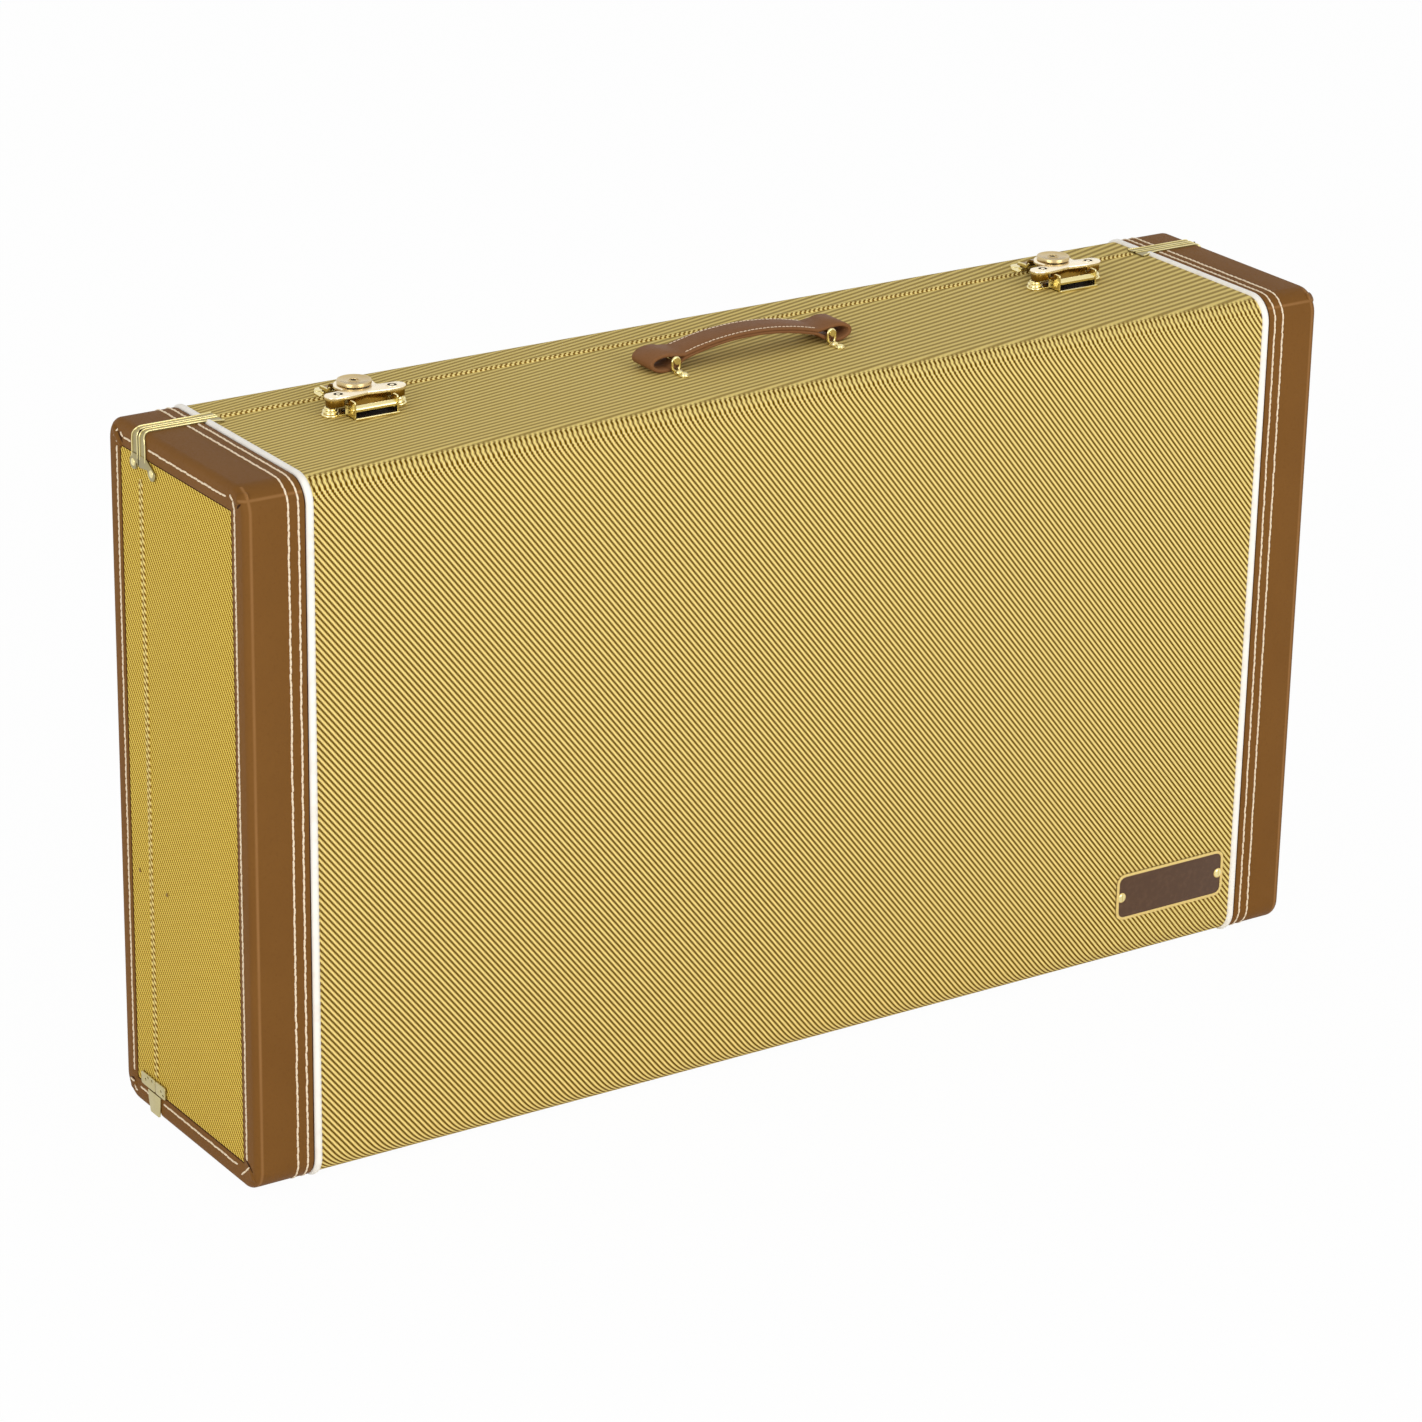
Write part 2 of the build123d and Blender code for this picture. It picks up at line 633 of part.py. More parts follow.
# Handle: an arched strap with a loop at each end, two bars, four rings and four feet
handle_low = Plane.XZ.offset(-(HANDLE_Y + HANDLE_WIDTH / 2))
loop_z = TWEED_TOP + LOOP_HALF_HEIGHT
with BuildPart() as strap:
    with BuildSketch(handle_low):
        with BuildLine():
            top_arc = ThreePointArc(
                (HANDLE_X - NECK_X, TWEED_TOP + NECK_HIGH),
                (HANDLE_X, TWEED_TOP + HANDLE_RISE),
                (HANDLE_X + NECK_X, TWEED_TOP + NECK_HIGH),
            )
            Line(top_arc @ 1, (HANDLE_X + NECK_X, TWEED_TOP + NECK_LOW))
            low_arc = ThreePointArc(
                (HANDLE_X + NECK_X, TWEED_TOP + NECK_LOW),
                (HANDLE_X, TWEED_TOP + HANDLE_RISE - HANDLE_MIDDLE),
                (HANDLE_X - NECK_X, TWEED_TOP + NECK_LOW),
            )
            Line(low_arc @ 1, top_arc @ 0)
        make_face()
        crown_z = loop_z + LOOP_HALF_HEIGHT * (1 - (STRAP_PLY / LOOP_HALF_LENGTH) ** 2) ** 0.5
        for way in (-1, 1):
            loop_x = HANDLE_X + way * LOOP_X
            with Locations((loop_x, loop_z)):
                Ellipse(LOOP_HALF_LENGTH, LOOP_HALF_HEIGHT)
            with BuildLine():
                Polyline(
                    (HANDLE_X + way * NECK_X, TWEED_TOP + NECK_LOW),
                    (HANDLE_X + way * NECK_X, TWEED_TOP + NECK_HIGH),
                    (loop_x - way * STRAP_PLY, crown_z),
                    (loop_x - way * STRAP_PLY, loop_z - STRAP_PLY),
                    close=True,
                )
            make_face()
        for way in (-1, 1):
            with Locations((HANDLE_X + way * LOOP_X, loop_z)):
                Ellipse(
                    LOOP_HALF_LENGTH - STRAP_PLY,
                    LOOP_HALF_HEIGHT - STRAP_PLY,
                    mode=Mode.SUBTRACT,
                )
    extrude(amount=HANDLE_WIDTH)
name_part(strap.part, "handle_strap")

ring_y = HANDLE_WIDTH / 2 + RING_GAP + RING_WIRE_R
bar_z = TWEED_TOP + BAR_H
ring_top = bar_z + BAR_R + RING_WIRE_R + RUNNING_FIT
ring_low = TWEED_TOP + RING_WIRE_R + AXIAL_GAP
ring_z = (ring_top + ring_low) / 2
handle_bar_length = 2 * (ring_y + RING_WIRE_R + AXIAL_GAP + HEAD)
with BuildPart() as bars:
    for way in (-1, 1):
        x = HANDLE_X + way * BAR_X
        rod((x, HANDLE_Y, bar_z), BAR_R, handle_bar_length, ALONG_Y)
        for facing in (-1, 1):
            head_y = HANDLE_Y + facing * (handle_bar_length - HEAD) / 2
            rod((x, head_y, bar_z), BAR_R + RING_WIRE_R, HEAD, ALONG_Y)
name_part(bars.part, "handle_bars")

with BuildPart() as rings:
    for way in (-1, 1):
        for facing in (-1, 1):
            centre = (HANDLE_X + way * BAR_X, HANDLE_Y + facing * ring_y, ring_z)
            ring_plane = Plane(centre, x_dir=(1, 0, 0), z_dir=(0, -1, 0))
            straight = (ring_top - ring_low) / 2 - RING_HALF_WIDTH
            with BuildLine(ring_plane) as oval:
                Line((RING_HALF_WIDTH, -straight), (RING_HALF_WIDTH, straight))
                ThreePointArc(
                    (RING_HALF_WIDTH, straight),
                    (0, straight + RING_HALF_WIDTH),
                    (-RING_HALF_WIDTH, straight),
                )
                Line((-RING_HALF_WIDTH, straight), (-RING_HALF_WIDTH, -straight))
                ThreePointArc(
                    (-RING_HALF_WIDTH, -straight),
                    (0, -straight - RING_HALF_WIDTH),
                    (RING_HALF_WIDTH, -straight),
                )
            with BuildSketch(Plane(oval.wire() @ 0, x_dir=(0, 1, 0), z_dir=oval.wire() % 0)):
                Circle(RING_WIRE_R)
            sweep(path=oval.wire())
name_part(rings.part, "handle_rings")

with BuildPart() as feet:
    for way in (-1, 1):
        for facing in (-1, 1):
            x = HANDLE_X + way * BAR_X
            y = HANDLE_Y + facing * ring_y
            near_y = y + facing * (RING_WIRE_R + AXIAL_GAP)
            saddle = ring_low + RING_WIRE_R + RING_PLAY
            block(
                (x - HANDLE_FOOT_WIDTH / 2, near_y, TWEED_TOP),
                (x + HANDLE_FOOT_WIDTH / 2, y + facing * HANDLE_FOOT_LENGTH, TWEED_TOP + HANDLE_FOOT),
            )
            block(
                (x - RING_WIRE_R, y - facing * RING_WIRE_R, saddle),
                (x + RING_WIRE_R, near_y + facing * HANDLE_FOOT, saddle + HANDLE_FOOT),
            )
            block(
                (x - RING_WIRE_R, near_y, TWEED_TOP),
                (x + RING_WIRE_R, near_y + facing * HANDLE_FOOT, saddle + HANDLE_FOOT),
            )
            screw_y = y + facing * (HANDLE_FOOT_LENGTH - HEAD_R - AXIAL_GAP)
            rod((x, screw_y, TWEED_TOP + HANDLE_FOOT + HEAD / 2), HEAD_R, HEAD)
            inner_screw_y = screw_y - facing * HANDLE_SCREW_PITCH
            rod((x, inner_screw_y, TWEED_TOP + HANDLE_FOOT + HEAD / 2), HEAD_R, HEAD)
name_part(feet.part, "handle_feet")


# Seam clips: an angle over each top corner of the seam, and a small plate low on each end
TAB_REACH = {DEEP: TAB_DEEP_REACH, LID: TAB_LID_REACH}
BASE_RIVET_REACH = {DEEP: BASE_RIVET_DEEP_REACH, LID: BASE_RIVET_LID_REACH}


def top_clip(side, end):
    """Angle that runs along the seam over the band and turns down the end to a riveted tab."""
    near = seam(side)
    far = SEAM_Y + side * CLIP_WIDTH
    corner_z = HEIGHT + CLIP
    leg_z = HEIGHT - CLIP_LEG_LENGTH
    with BuildSketch(Plane.XZ.offset(-near)) as angle:
        with BuildLine():
            Line((end * CLIP_INNER_X, HEIGHT), (end * CLIP_INNER_X, corner_z))
            FilletPolyline(
                (end * CLIP_INNER_X, corner_z),
                (end * (END_X + CLIP), corner_z),
                (end * (END_X + CLIP), leg_z),
                radius=END_EDGE_R + CLIP,
            )
            Line((end * (END_X + CLIP), leg_z), (end * END_X, leg_z))
            FilletPolyline(
                (end * END_X, leg_z),
                (end * END_X, HEIGHT),
                (end * CLIP_INNER_X, HEIGHT),
                radius=END_EDGE_R,
            )
        make_face()
    extrude(angle.sketch, amount=-side * abs(far - near))
    block(
        (end * END_X, near, leg_z),
        (end * (END_X + CLIP), SEAM_Y + side * CLIP_LEG, HEIGHT - LEATHER - END_EDGE_R),
    )
    with BuildSketch(Plane.YZ.offset(end * END_X)) as tab:
        with Locations((near + side * TAB_R, leg_z), (SEAM_Y + side * TAB_REACH[side], leg_z - TAB_DROP)):
            Circle(TAB_R)
        make_hull()
    extrude(tab.sketch, amount=end * CLIP)
    if side == DEEP:
        block(
            (end * (TWEED_X - AXIAL_GAP), far, HEIGHT),
            (end * (BAND_X + AXIAL_GAP), far - CLIP_FLARE, HEIGHT + CLIP),
        )


def base_clip(side, end):
    """Plate beside the seam, low on the end; the deep half's carries the tab over the hinge line."""
    far = SEAM_Y + side * (BASE_RIVET_REACH[side] + BASE_CLIP_MARGIN)
    block(
        (end * TWEED_END_X, seam(side), BASE_CLIP_Z),
        (end * (END_X + CLIP), far, BASE_CLIP_Z + BASE_CLIP_HEIGHT),
    )
    if side == DEEP:
        block(
            (end * END_X, SEAM_Y - BASE_TAB_WIDTH, PIVOT_Z - KNUCKLE_R),
            (end * (END_X + CLIP), SEAM_Y - GROOVE_R, BASE_TAB_TOP),
        )
        block(
            (end * (END_X + BASE_TAB_GAP), SEAM_Y - BASE_TAB_WIDTH, PIVOT_Z - KNUCKLE_R),
            (end * (END_X + CLIP), SEAM_Y + BASE_TAB_WIDTH, BASE_TAB_TOP),
        )


for name, side in SIDES.items():
    with BuildPart() as clips:
        for end in ENDS.values():
            top_clip(side, end)
            base_clip(side, end)
    name_part(clips.part, "seam_clips_" + name)

    with BuildPart() as clip_rivets:
        for end in ENDS.values():
            rivet_x = end * (END_X + CLIP + HEAD / 2)
            tab_z = HEIGHT - CLIP_LEG_LENGTH - TAB_DROP
            rod((rivet_x, SEAM_Y + side * TAB_REACH[side], tab_z), HEAD_R, HEAD, ALONG_X)
            plate_z = BASE_CLIP_Z + BASE_CLIP_HEIGHT / 2
            rod((rivet_x, SEAM_Y + side * BASE_RIVET_REACH[side], plate_z), HEAD_R, HEAD, ALONG_X)
    name_part(clip_rivets.part, "clip_rivets_" + name)


# Name plate: bare sheet with a screw at each end
with BuildPart() as name_plate:
    with BuildSketch(Plane.XZ.offset(TWEED_Y)):
        with Locations((PLATE_X, PLATE_Z)):
            RectangleRounded(PLATE_LENGTH, PLATE_HEIGHT, PLATE_CORNER_R)
    extrude(amount=PLATE)
name_part(name_plate.part, "name_plate")

with BuildPart() as plate_screws:
    for way in (-1, 1):
        head_y = -(TWEED_Y + PLATE + HEAD / 2)
        rod((PLATE_X + way * (PLATE_LENGTH / 2 - PLATE_SCREW_INSET), head_y, PLATE_Z), HEAD_R, HEAD, ALONG_Y)
name_part(plate_screws.part, "name_plate_screws")
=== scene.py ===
"""Guitar pedal case: tweed over boards, leather ends, brass latches, a strap handle and a plush inside.

Metres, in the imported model's frame: +X along the case, +Y towards the lid, +Z up.
"""
import math
import random

import bmesh
import bpy
from mathutils import Matrix, Vector


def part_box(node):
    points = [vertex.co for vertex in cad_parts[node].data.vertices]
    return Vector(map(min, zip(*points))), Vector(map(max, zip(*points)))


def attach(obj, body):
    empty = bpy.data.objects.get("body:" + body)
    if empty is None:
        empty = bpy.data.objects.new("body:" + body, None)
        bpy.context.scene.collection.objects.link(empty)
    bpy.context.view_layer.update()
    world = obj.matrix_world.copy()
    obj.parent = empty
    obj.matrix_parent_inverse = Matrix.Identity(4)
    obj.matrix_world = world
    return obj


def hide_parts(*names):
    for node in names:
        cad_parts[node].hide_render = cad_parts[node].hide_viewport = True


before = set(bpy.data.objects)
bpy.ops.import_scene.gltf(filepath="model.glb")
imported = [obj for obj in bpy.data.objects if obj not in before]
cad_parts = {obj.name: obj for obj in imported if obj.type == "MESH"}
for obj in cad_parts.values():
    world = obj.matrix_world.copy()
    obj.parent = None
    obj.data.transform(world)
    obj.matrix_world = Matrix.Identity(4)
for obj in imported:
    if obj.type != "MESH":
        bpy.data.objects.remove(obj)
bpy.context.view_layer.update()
mm = 0.001


# The studio: a pale floor that fades into a white background, a white sky for even light, and two
# large soft lamps on the camera's side. The floor is mostly white to the camera, and keeps a shadow.
def paint(red, green, blue):
    """A colour of 0 to 255 steps as the linear colour that a shader takes."""
    steps = [value / 255 for value in (red, green, blue)]
    return (*[s / 12.92 if s < 0.04045 else ((s + 0.055) / 1.055) ** 2.4 for s in steps], 1.0)


class Value:
    """One output of a node. Python's operators add Math nodes, with a number or a Value on either side."""

    def __init__(self, finish, socket):
        self.finish = finish
        self.socket = socket

    def math(self, operation, *others):
        return self.finish.node("ShaderNodeMath", {"operation": operation}, [self, *others])

    def flipped(self, operation, other):
        return self.finish.node("ShaderNodeMath", {"operation": operation}, [other, self])

    def __add__(self, other):
        return self.math("ADD", other)

    def __radd__(self, other):
        return self.math("ADD", other)

    def __sub__(self, other):
        return self.math("SUBTRACT", other)

    def __rsub__(self, other):
        return self.flipped("SUBTRACT", other)

    def __mul__(self, other):
        return self.math("MULTIPLY", other)

    def __rmul__(self, other):
        return self.math("MULTIPLY", other)

    def __truediv__(self, other):
        return self.math("DIVIDE", other)

    def __gt__(self, other):
        return self.math("GREATER_THAN", other)

    def __lt__(self, other):
        return self.math("LESS_THAN", other)

    def __abs__(self):
        return self.math("ABSOLUTE")

    def ramp(self, low, high):
        """0 below low and 1 above high, with a smooth step between. low may be the larger."""
        inputs = {"Value": self, "From Min": low, "From Max": high}
        return self.finish.node("ShaderNodeMapRange", {"interpolation_type": "SMOOTHSTEP"}, inputs)


class Nodes:
    """A node tree that is filled by one method."""

    def __init__(self, tree):
        self.tree = tree

    def node(self, kind, settings=None, inputs=None, output=0):
        made = self.tree.nodes.new(kind)
        for key, value in (settings or {}).items():
            setattr(made, key, value)
        given = inputs.items() if isinstance(inputs, dict) else enumerate(inputs or [])
        for key, value in given:
            self.plug(made.inputs[key], value)
        return Value(self, made.outputs[output])

    def plug(self, socket, value):
        if isinstance(value, Value):
            self.tree.links.new(value.socket, socket)
        else:
            socket.default_value = value


class Finish(Nodes):
    """A material: a Principled shader with constants on its sockets, and what varies over the surface."""

    def __init__(self, name, **constants):
        self.material = bpy.data.materials.new(name)
        self.material.use_nodes = True
        super().__init__(self.material.node_tree)
        self.shader = self.tree.nodes["Principled BSDF"]
        for socket, value in constants.items():
            self.plug(self.shader.inputs[socket.replace("_", " ")], value)

    def feed(self, socket, value):
        self.plug(self.shader.inputs[socket], value)

    def apart(self, vector):
        """X, Y and Z of a vector, in millimetres."""
        split = self.node("ShaderNodeSeparateXYZ", inputs=[vector])
        outputs = split.socket.node.outputs
        return [Value(self, outputs[axis]) * 1000 for axis in range(3)]

    def place(self):
        """X, Y and Z on the piece at rest, in millimetres."""
        return self.apart(self.node("ShaderNodeTexCoord", output="Object"))

    def mix(self, amount, first, second):
        inputs = {0: amount, 6: first, 7: second}
        return self.node("ShaderNodeMix", {"data_type": "RGBA"}, inputs, output=2)

    def noise(self, size, detail=2.0, stretch=(1, 1, 1)):
        """Noise from 0 to 1 whose lumps are about so many metres wide, stretched along an axis."""
        where = self.node("ShaderNodeTexCoord", output="Object")
        scale = [1 / (size * factor) for factor in stretch]
        where = self.node("ShaderNodeVectorMath", {"operation": "MULTIPLY"}, [where, scale])
        return self.node("ShaderNodeTexNoise", inputs={"Vector": where, "Scale": 1.0, "Detail": detail})

    def relief(self, height, depth):
        """Bump that feeds Normal, with its full height in metres."""
        inputs = {"Strength": 1.0, "Distance": depth, "Height": height}
        self.feed("Normal", self.node("ShaderNodeBump", inputs=inputs))


def white_out(nodes, shader, light, amount):
    """Mixes a plain white light over a shader where the camera or a reflection sees it."""
    rays = nodes.node("ShaderNodeLightPath")
    outputs = rays.socket.node.outputs
    seen = rays
    for kind in ("Is Glossy Ray", "Is Transmission Ray"):
        seen = seen.math("MAXIMUM", Value(nodes, outputs[kind]))
    return nodes.node("ShaderNodeMixShader", inputs=[seen * amount, shader, light])


SKY_LIGHT = 0.62
FLOOR_WHITE = paint(244, 244, 243)
FLOOR_WHITENED = 0.97
FLOOR_REACH = 14.0

world = bpy.data.worlds.new("sky")
bpy.context.scene.world = world
world.use_nodes = True
sky = Nodes(world.node_tree)
dome = Value(sky, world.node_tree.nodes["Background"].outputs[0])
sky.plug(world.node_tree.nodes["Background"].inputs["Color"], paint(255, 255, 255))
sky.plug(world.node_tree.nodes["Background"].inputs["Strength"], SKY_LIGHT)
clear = sky.node("ShaderNodeBackground", inputs=[paint(255, 255, 255), 1.0])
sky.plug(world.node_tree.nodes["World Output"].inputs["Surface"], white_out(sky, dome, clear, 1.0))

floor_finish = Finish("floor", Base_Color=FLOOR_WHITE, Roughness=0.9)
glow = floor_finish.node("ShaderNodeEmission", inputs=[paint(255, 255, 255), 1.0])
plain = Value(floor_finish, floor_finish.shader.outputs[0])
floor_finish.plug(
    floor_finish.tree.nodes["Material Output"].inputs["Surface"],
    white_out(floor_finish, plain, glow, FLOOR_WHITENED),
)
floor_mesh = bpy.data.meshes.new("floor")
corners = [(x * FLOOR_REACH, y * FLOOR_REACH, 0) for x, y in ((-1, -1), (1, -1), (1, 1), (-1, 1))]
floor_mesh.from_pydata(corners, [], [(0, 1, 2, 3)])
floor_mesh.materials.append(floor_finish.material)
floor = bpy.data.objects.new("floor", floor_mesh)
bpy.context.scene.collection.objects.link(floor)

LAMPS = {
    "lamp_left": ((-4.0, -2.2, 1.5), 2.4, 62.0),
    "lamp_front": ((1.0, -4.4, 1.6), 2.4, 62.0),
}
for name, (spot, width, power) in LAMPS.items():
    lamp = bpy.data.lights.new(name, "AREA")
    lamp.size = width
    lamp.energy = power
    lamp_object = bpy.data.objects.new(name, lamp)
    lamp_object.location = spot
    aim = Vector((0, 0, 0.25)) - Vector(spot)
    lamp_object.rotation_euler = aim.to_track_quat("-Z", "Y").to_euler()
    bpy.context.scene.collection.objects.link(lamp_object)

CAMERA_SPOT = (-1.770669, -2.631917, 1.476003)
CAMERA_RIGHT = (0.8358615, -0.5486817, 0.01685068)
CAMERA_UP = (0.18889803, 0.31631804, 0.92965608)
LENS = 125.33
SENSOR = 36.0
camera_data = bpy.data.cameras.new("camera")
camera_data.lens = LENS
camera_data.sensor_width = SENSOR
camera_data.clip_end = 50
camera = bpy.data.objects.new("camera", camera_data)
camera_back = Vector(CAMERA_RIGHT).cross(Vector(CAMERA_UP))
turn = Matrix((CAMERA_RIGHT, CAMERA_UP, camera_back)).transposed().to_4x4()
camera.matrix_world = Matrix.Translation(CAMERA_SPOT) @ turn
bpy.context.scene.collection.objects.link(camera)
bpy.context.scene.camera = camera
bpy.context.scene.view_settings.view_transform = "Standard"


# The boards: birch plywood glued at the corners. They show only as edges in the seam and, on the
# inside, where the lining stops. The plies run as fine bands through the thickness.
PLY_LIGHT = paint(206, 170, 120)
PLY_DARK = paint(160, 120, 76)
PLY_PITCH = 1.3

plywood = Finish("birch_plywood", Roughness=0.7)
ply_x, ply_y, ply_z = plywood.place()
plies = ((ply_y + ply_z) / PLY_PITCH).math("FRACT")
grain = plywood.noise(6 * mm, 3.0, (12, 1, 1))
plywood.feed("Base Color", plywood.mix(grain * 0.5 + (plies > 0.5) * 0.5, PLY_LIGHT, PLY_DARK))
plywood.relief(grain, 0.1 * mm)
for name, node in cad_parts.items():
    if "board" in name or name.startswith("tongue"):
        node.data.materials.clear()
        node.data.materials.append(plywood.material)


# Tweed: a lacquered cotton twill, yellow-gold with dark brown floats. One wrap goes over the face,
# top and bottom of each half and is glued to the boards; a panel is let into each end.
case_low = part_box("deep_leather_left")[0]
case_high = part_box("lid_leather_right")[1]
wrap_low, wrap_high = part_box("deep_tweed_wrap")
pin_low, pin_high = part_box("hinge_pins")
SEAM_Y = (pin_low[1] + pin_high[1]) / 2
PIVOT_Z = (pin_low[2] + pin_high[2]) / 2
SEAM_GAP = 0.3 * mm
GROOVE = 5.2 * mm
LONG_RADIUS = 17 * mm
LEATHER = 1.2 * mm
TWEED = 0.8 * mm
BORDER = 17 * mm
CORNER_STEPS = 12
SIDES = {"deep": -1, "lid": 1}
ENDS = {"left": -1, "right": 1}
BODY = {"deep": "deep_half", "lid": "lid"}
REPEAT_X = 3.80
REPEAT_Z = 4.69
THREADS = 4
TOP_PITCH = 5.26
TOP_FAN = 0.00011
TOP_SLANT = 0.044
GOLD_THREAD = paint(250, 226, 140)
BROWN_THREAD = paint(106, 72, 0)


def half_path(side, inset, start=SEAM_GAP, floor=0):
    """Outline of one half, as (y, z) points from the seam over the top, down the face and back under."""
    outer = (case_high[1] if side > 0 else case_low[1]) - side * inset
    radius = max(LONG_RADIUS - inset, 0)
    top = case_high[2] - inset
    groove_reach = GROOVE ** 2 - (max(inset, floor) - PIVOT_Z) ** 2
    foot_gap = max(SEAM_GAP, groove_reach ** 0.5 if groove_reach > 0 else 0)
    points = [(SEAM_Y + side * start, top)]
    turns = [math.pi / 2 * step / CORNER_STEPS for step in range(CORNER_STEPS + 1)]
    for angle in turns:
        points.append((outer - side * radius * (1 - math.sin(angle)), top - radius * (1 - math.cos(angle))))
    for angle in turns:
        points.append((outer - side * radius * (1 - math.cos(angle)), inset + radius * (1 - math.sin(angle))))
    points.append((SEAM_Y + side * foot_gap, inset))
    return [(y, max(z, floor)) for y, z in points]


class Form:
    """The points and faces of one piece, gathered from several shapes."""

    def __init__(self):
        self.points = []
        self.faces = []

    def add(self, points, faces, place=None):
        first = len(self.points)
        self.points += [tuple(place @ Vector(p)) if place else tuple(p) for p in points]
        self.faces += [tuple(first + index for index in face) for face in faces]

    def rings(self, rings, closed=False, place=None):
        """Skin over rings of as many points each, with flat ends unless the rings close on themselves."""
        count = len(rings[0])
        points = [point for ring in rings for point in ring]
        faces = []
        for a in range(len(rings) if closed else len(rings) - 1):
            b = (a + 1) % len(rings)
            for i in range(count):
                j = (i + 1) % count
                faces.append((a * count + i, a * count + j, b * count + j, b * count + i))
        if not closed:
            faces.append(tuple(range(count))[::-1])
            faces.append(tuple(range(len(points) - count, len(points))))
        self.add(points, faces, place)

    def along_half(self, side, section, **limits):
        """Sweep of a closed section of (x, inset) points along the outline of one half."""
        paths = [half_path(side, inset, **limits) for x, inset in section]
        xs = [x for x, inset in section]
        self.rings([[(x, *path[i]) for x, path in zip(xs, paths)] for i in range(len(paths[0]))])

    def turned(self, profile, centre, axis=(0, 0, 1), steps=28):
        """Solid of revolution of (radius, height) points about an axis through a centre."""
        place = Matrix.Translation(centre) @ Vector(axis).to_track_quat("Z", "Y").to_matrix().to_4x4()
        rings = []
        for radius, height in profile:
            reach = max(radius, 0.01 * mm)
            turns = [2 * math.pi * step / steps for step in range(steps)]
            rings.append([(reach * math.cos(turn), reach * math.sin(turn), height) for turn in turns])
        self.rings(rings, place=place)

    def swept(self, path, section, side_way, closed=False):
        """Sweep of an (across, up) section along a path; up is square to the path and to side_way."""
        rings = []
        for i, point in enumerate(path):
            before = path[i - 1] if i or closed else point
            after = path[(i + 1) % len(path)] if i + 1 < len(path) or closed else point
            along = (Vector(after) - Vector(before)).normalized()
            across = (Vector(side_way) - along * Vector(side_way).dot(along)).normalized()
            up = across.cross(along)
            rings.append([Vector(point) + across * u + up * v for u, v in section])
        self.rings(rings, closed)

    def plate(self, outlines, thickness, rim, place):
        """Flat plate with holes, rounded along its rims, its underside on the place's XY plane."""
        curve = bpy.data.curves.new("outline", "CURVE")
        curve.dimensions = "2D"
        curve.fill_mode = "BOTH"
        curve.extrude = thickness / 2 - rim
        curve.bevel_depth = rim
        curve.bevel_resolution = 2
        for number, outline in enumerate(outlines):
            area = sum(a[0] * b[1] - b[0] * a[1] for a, b in zip(outline, outline[1:] + outline[:1]))
            if (area > 0) == (number > 0):
                outline = outline[::-1]
            spline = curve.splines.new("POLY")
            spline.points.add(len(outline) - 1)
            for point, (u, v) in zip(spline.points, shrunk(outline, rim)):
                point.co = (u, v, thickness / 2, 1)
            spline.use_cyclic_u = True
        holder = bpy.data.objects.new("outline", curve)
        mesh = bpy.data.meshes.new_from_object(holder)
        self.add([v.co for v in mesh.vertices], [tuple(f.vertices) for f in mesh.polygons], place)
        bpy.data.objects.remove(holder)
        bpy.data.curves.remove(curve)
        bpy.data.meshes.remove(mesh)

    def piece(self, name, finish, body, slot, replaces=(), smooth=38, merge=0.01 * mm):
        """Makes the object, with its faces turned outward, and hands it to the frame."""
        mesh = bpy.data.meshes.new(name)
        mesh.from_pydata(self.points, [], self.faces)
        work = bmesh.new()
        work.from_mesh(mesh)
        bmesh.ops.remove_doubles(work, verts=work.verts, dist=merge)
        bmesh.ops.dissolve_degenerate(work, edges=work.edges, dist=merge / 2)
        bmesh.ops.recalc_face_normals(work, faces=work.faces)
        work.to_mesh(mesh)
        work.free()
        mesh.polygons.foreach_set("use_smooth", [True] * len(mesh.polygons))
        mesh.set_sharp_from_angle(angle=math.radians(smooth))
        mesh.materials.append(finish.material)
        made = bpy.data.objects.new(name, mesh)
        bpy.context.scene.collection.objects.link(made)
        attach(made, body)
        if replaces:
            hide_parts(*replaces)
        return made


def shrunk(outline, distance):
    """A closed outline moved to its left by a distance, which is inward when it runs anticlockwise."""
    moved = []
    count = len(outline)
    for i in range(count):
        here = Vector(outline[i])
        back = (here - Vector(outline[i - 1])).normalized()
        ahead = (Vector(outline[(i + 1) % count]) - here).normalized()
        left = Vector((-(back + ahead).y, (back + ahead).x)).normalized()
        lean = max(left.dot(Vector((-back.y, back.x))), 0.4)
        moved.append(tuple(here + left * (distance / lean)))
    return moved


def carve(made, boxes):
    """Cuts boxes, given by two corners, out of a piece."""
    cutter = Form()
    for low, high in boxes:
        corner = [low, high]
        ring = ((0, 0), (1, 0), (1, 1), (0, 1))
        cutter.rings([[(corner[a][0], corner[b][1], corner[c][2]) for a, b in ring] for c in (0, 1)])
    mesh = bpy.data.meshes.new("cutter")
    mesh.from_pydata(cutter.points, [], cutter.faces)
    tool = bpy.data.objects.new("cutter", mesh)
    bpy.context.scene.collection.objects.link(tool)
    cut = made.modifiers.new("cut", "BOOLEAN")
    cut.object = tool
    cut.solver = "EXACT"
    bpy.context.view_layer.update()
    result = bpy.data.meshes.new_from_object(made.evaluated_get(bpy.context.evaluated_depsgraph_get()))
    made.modifiers.clear()
    made.data = result
    bpy.data.objects.remove(tool)


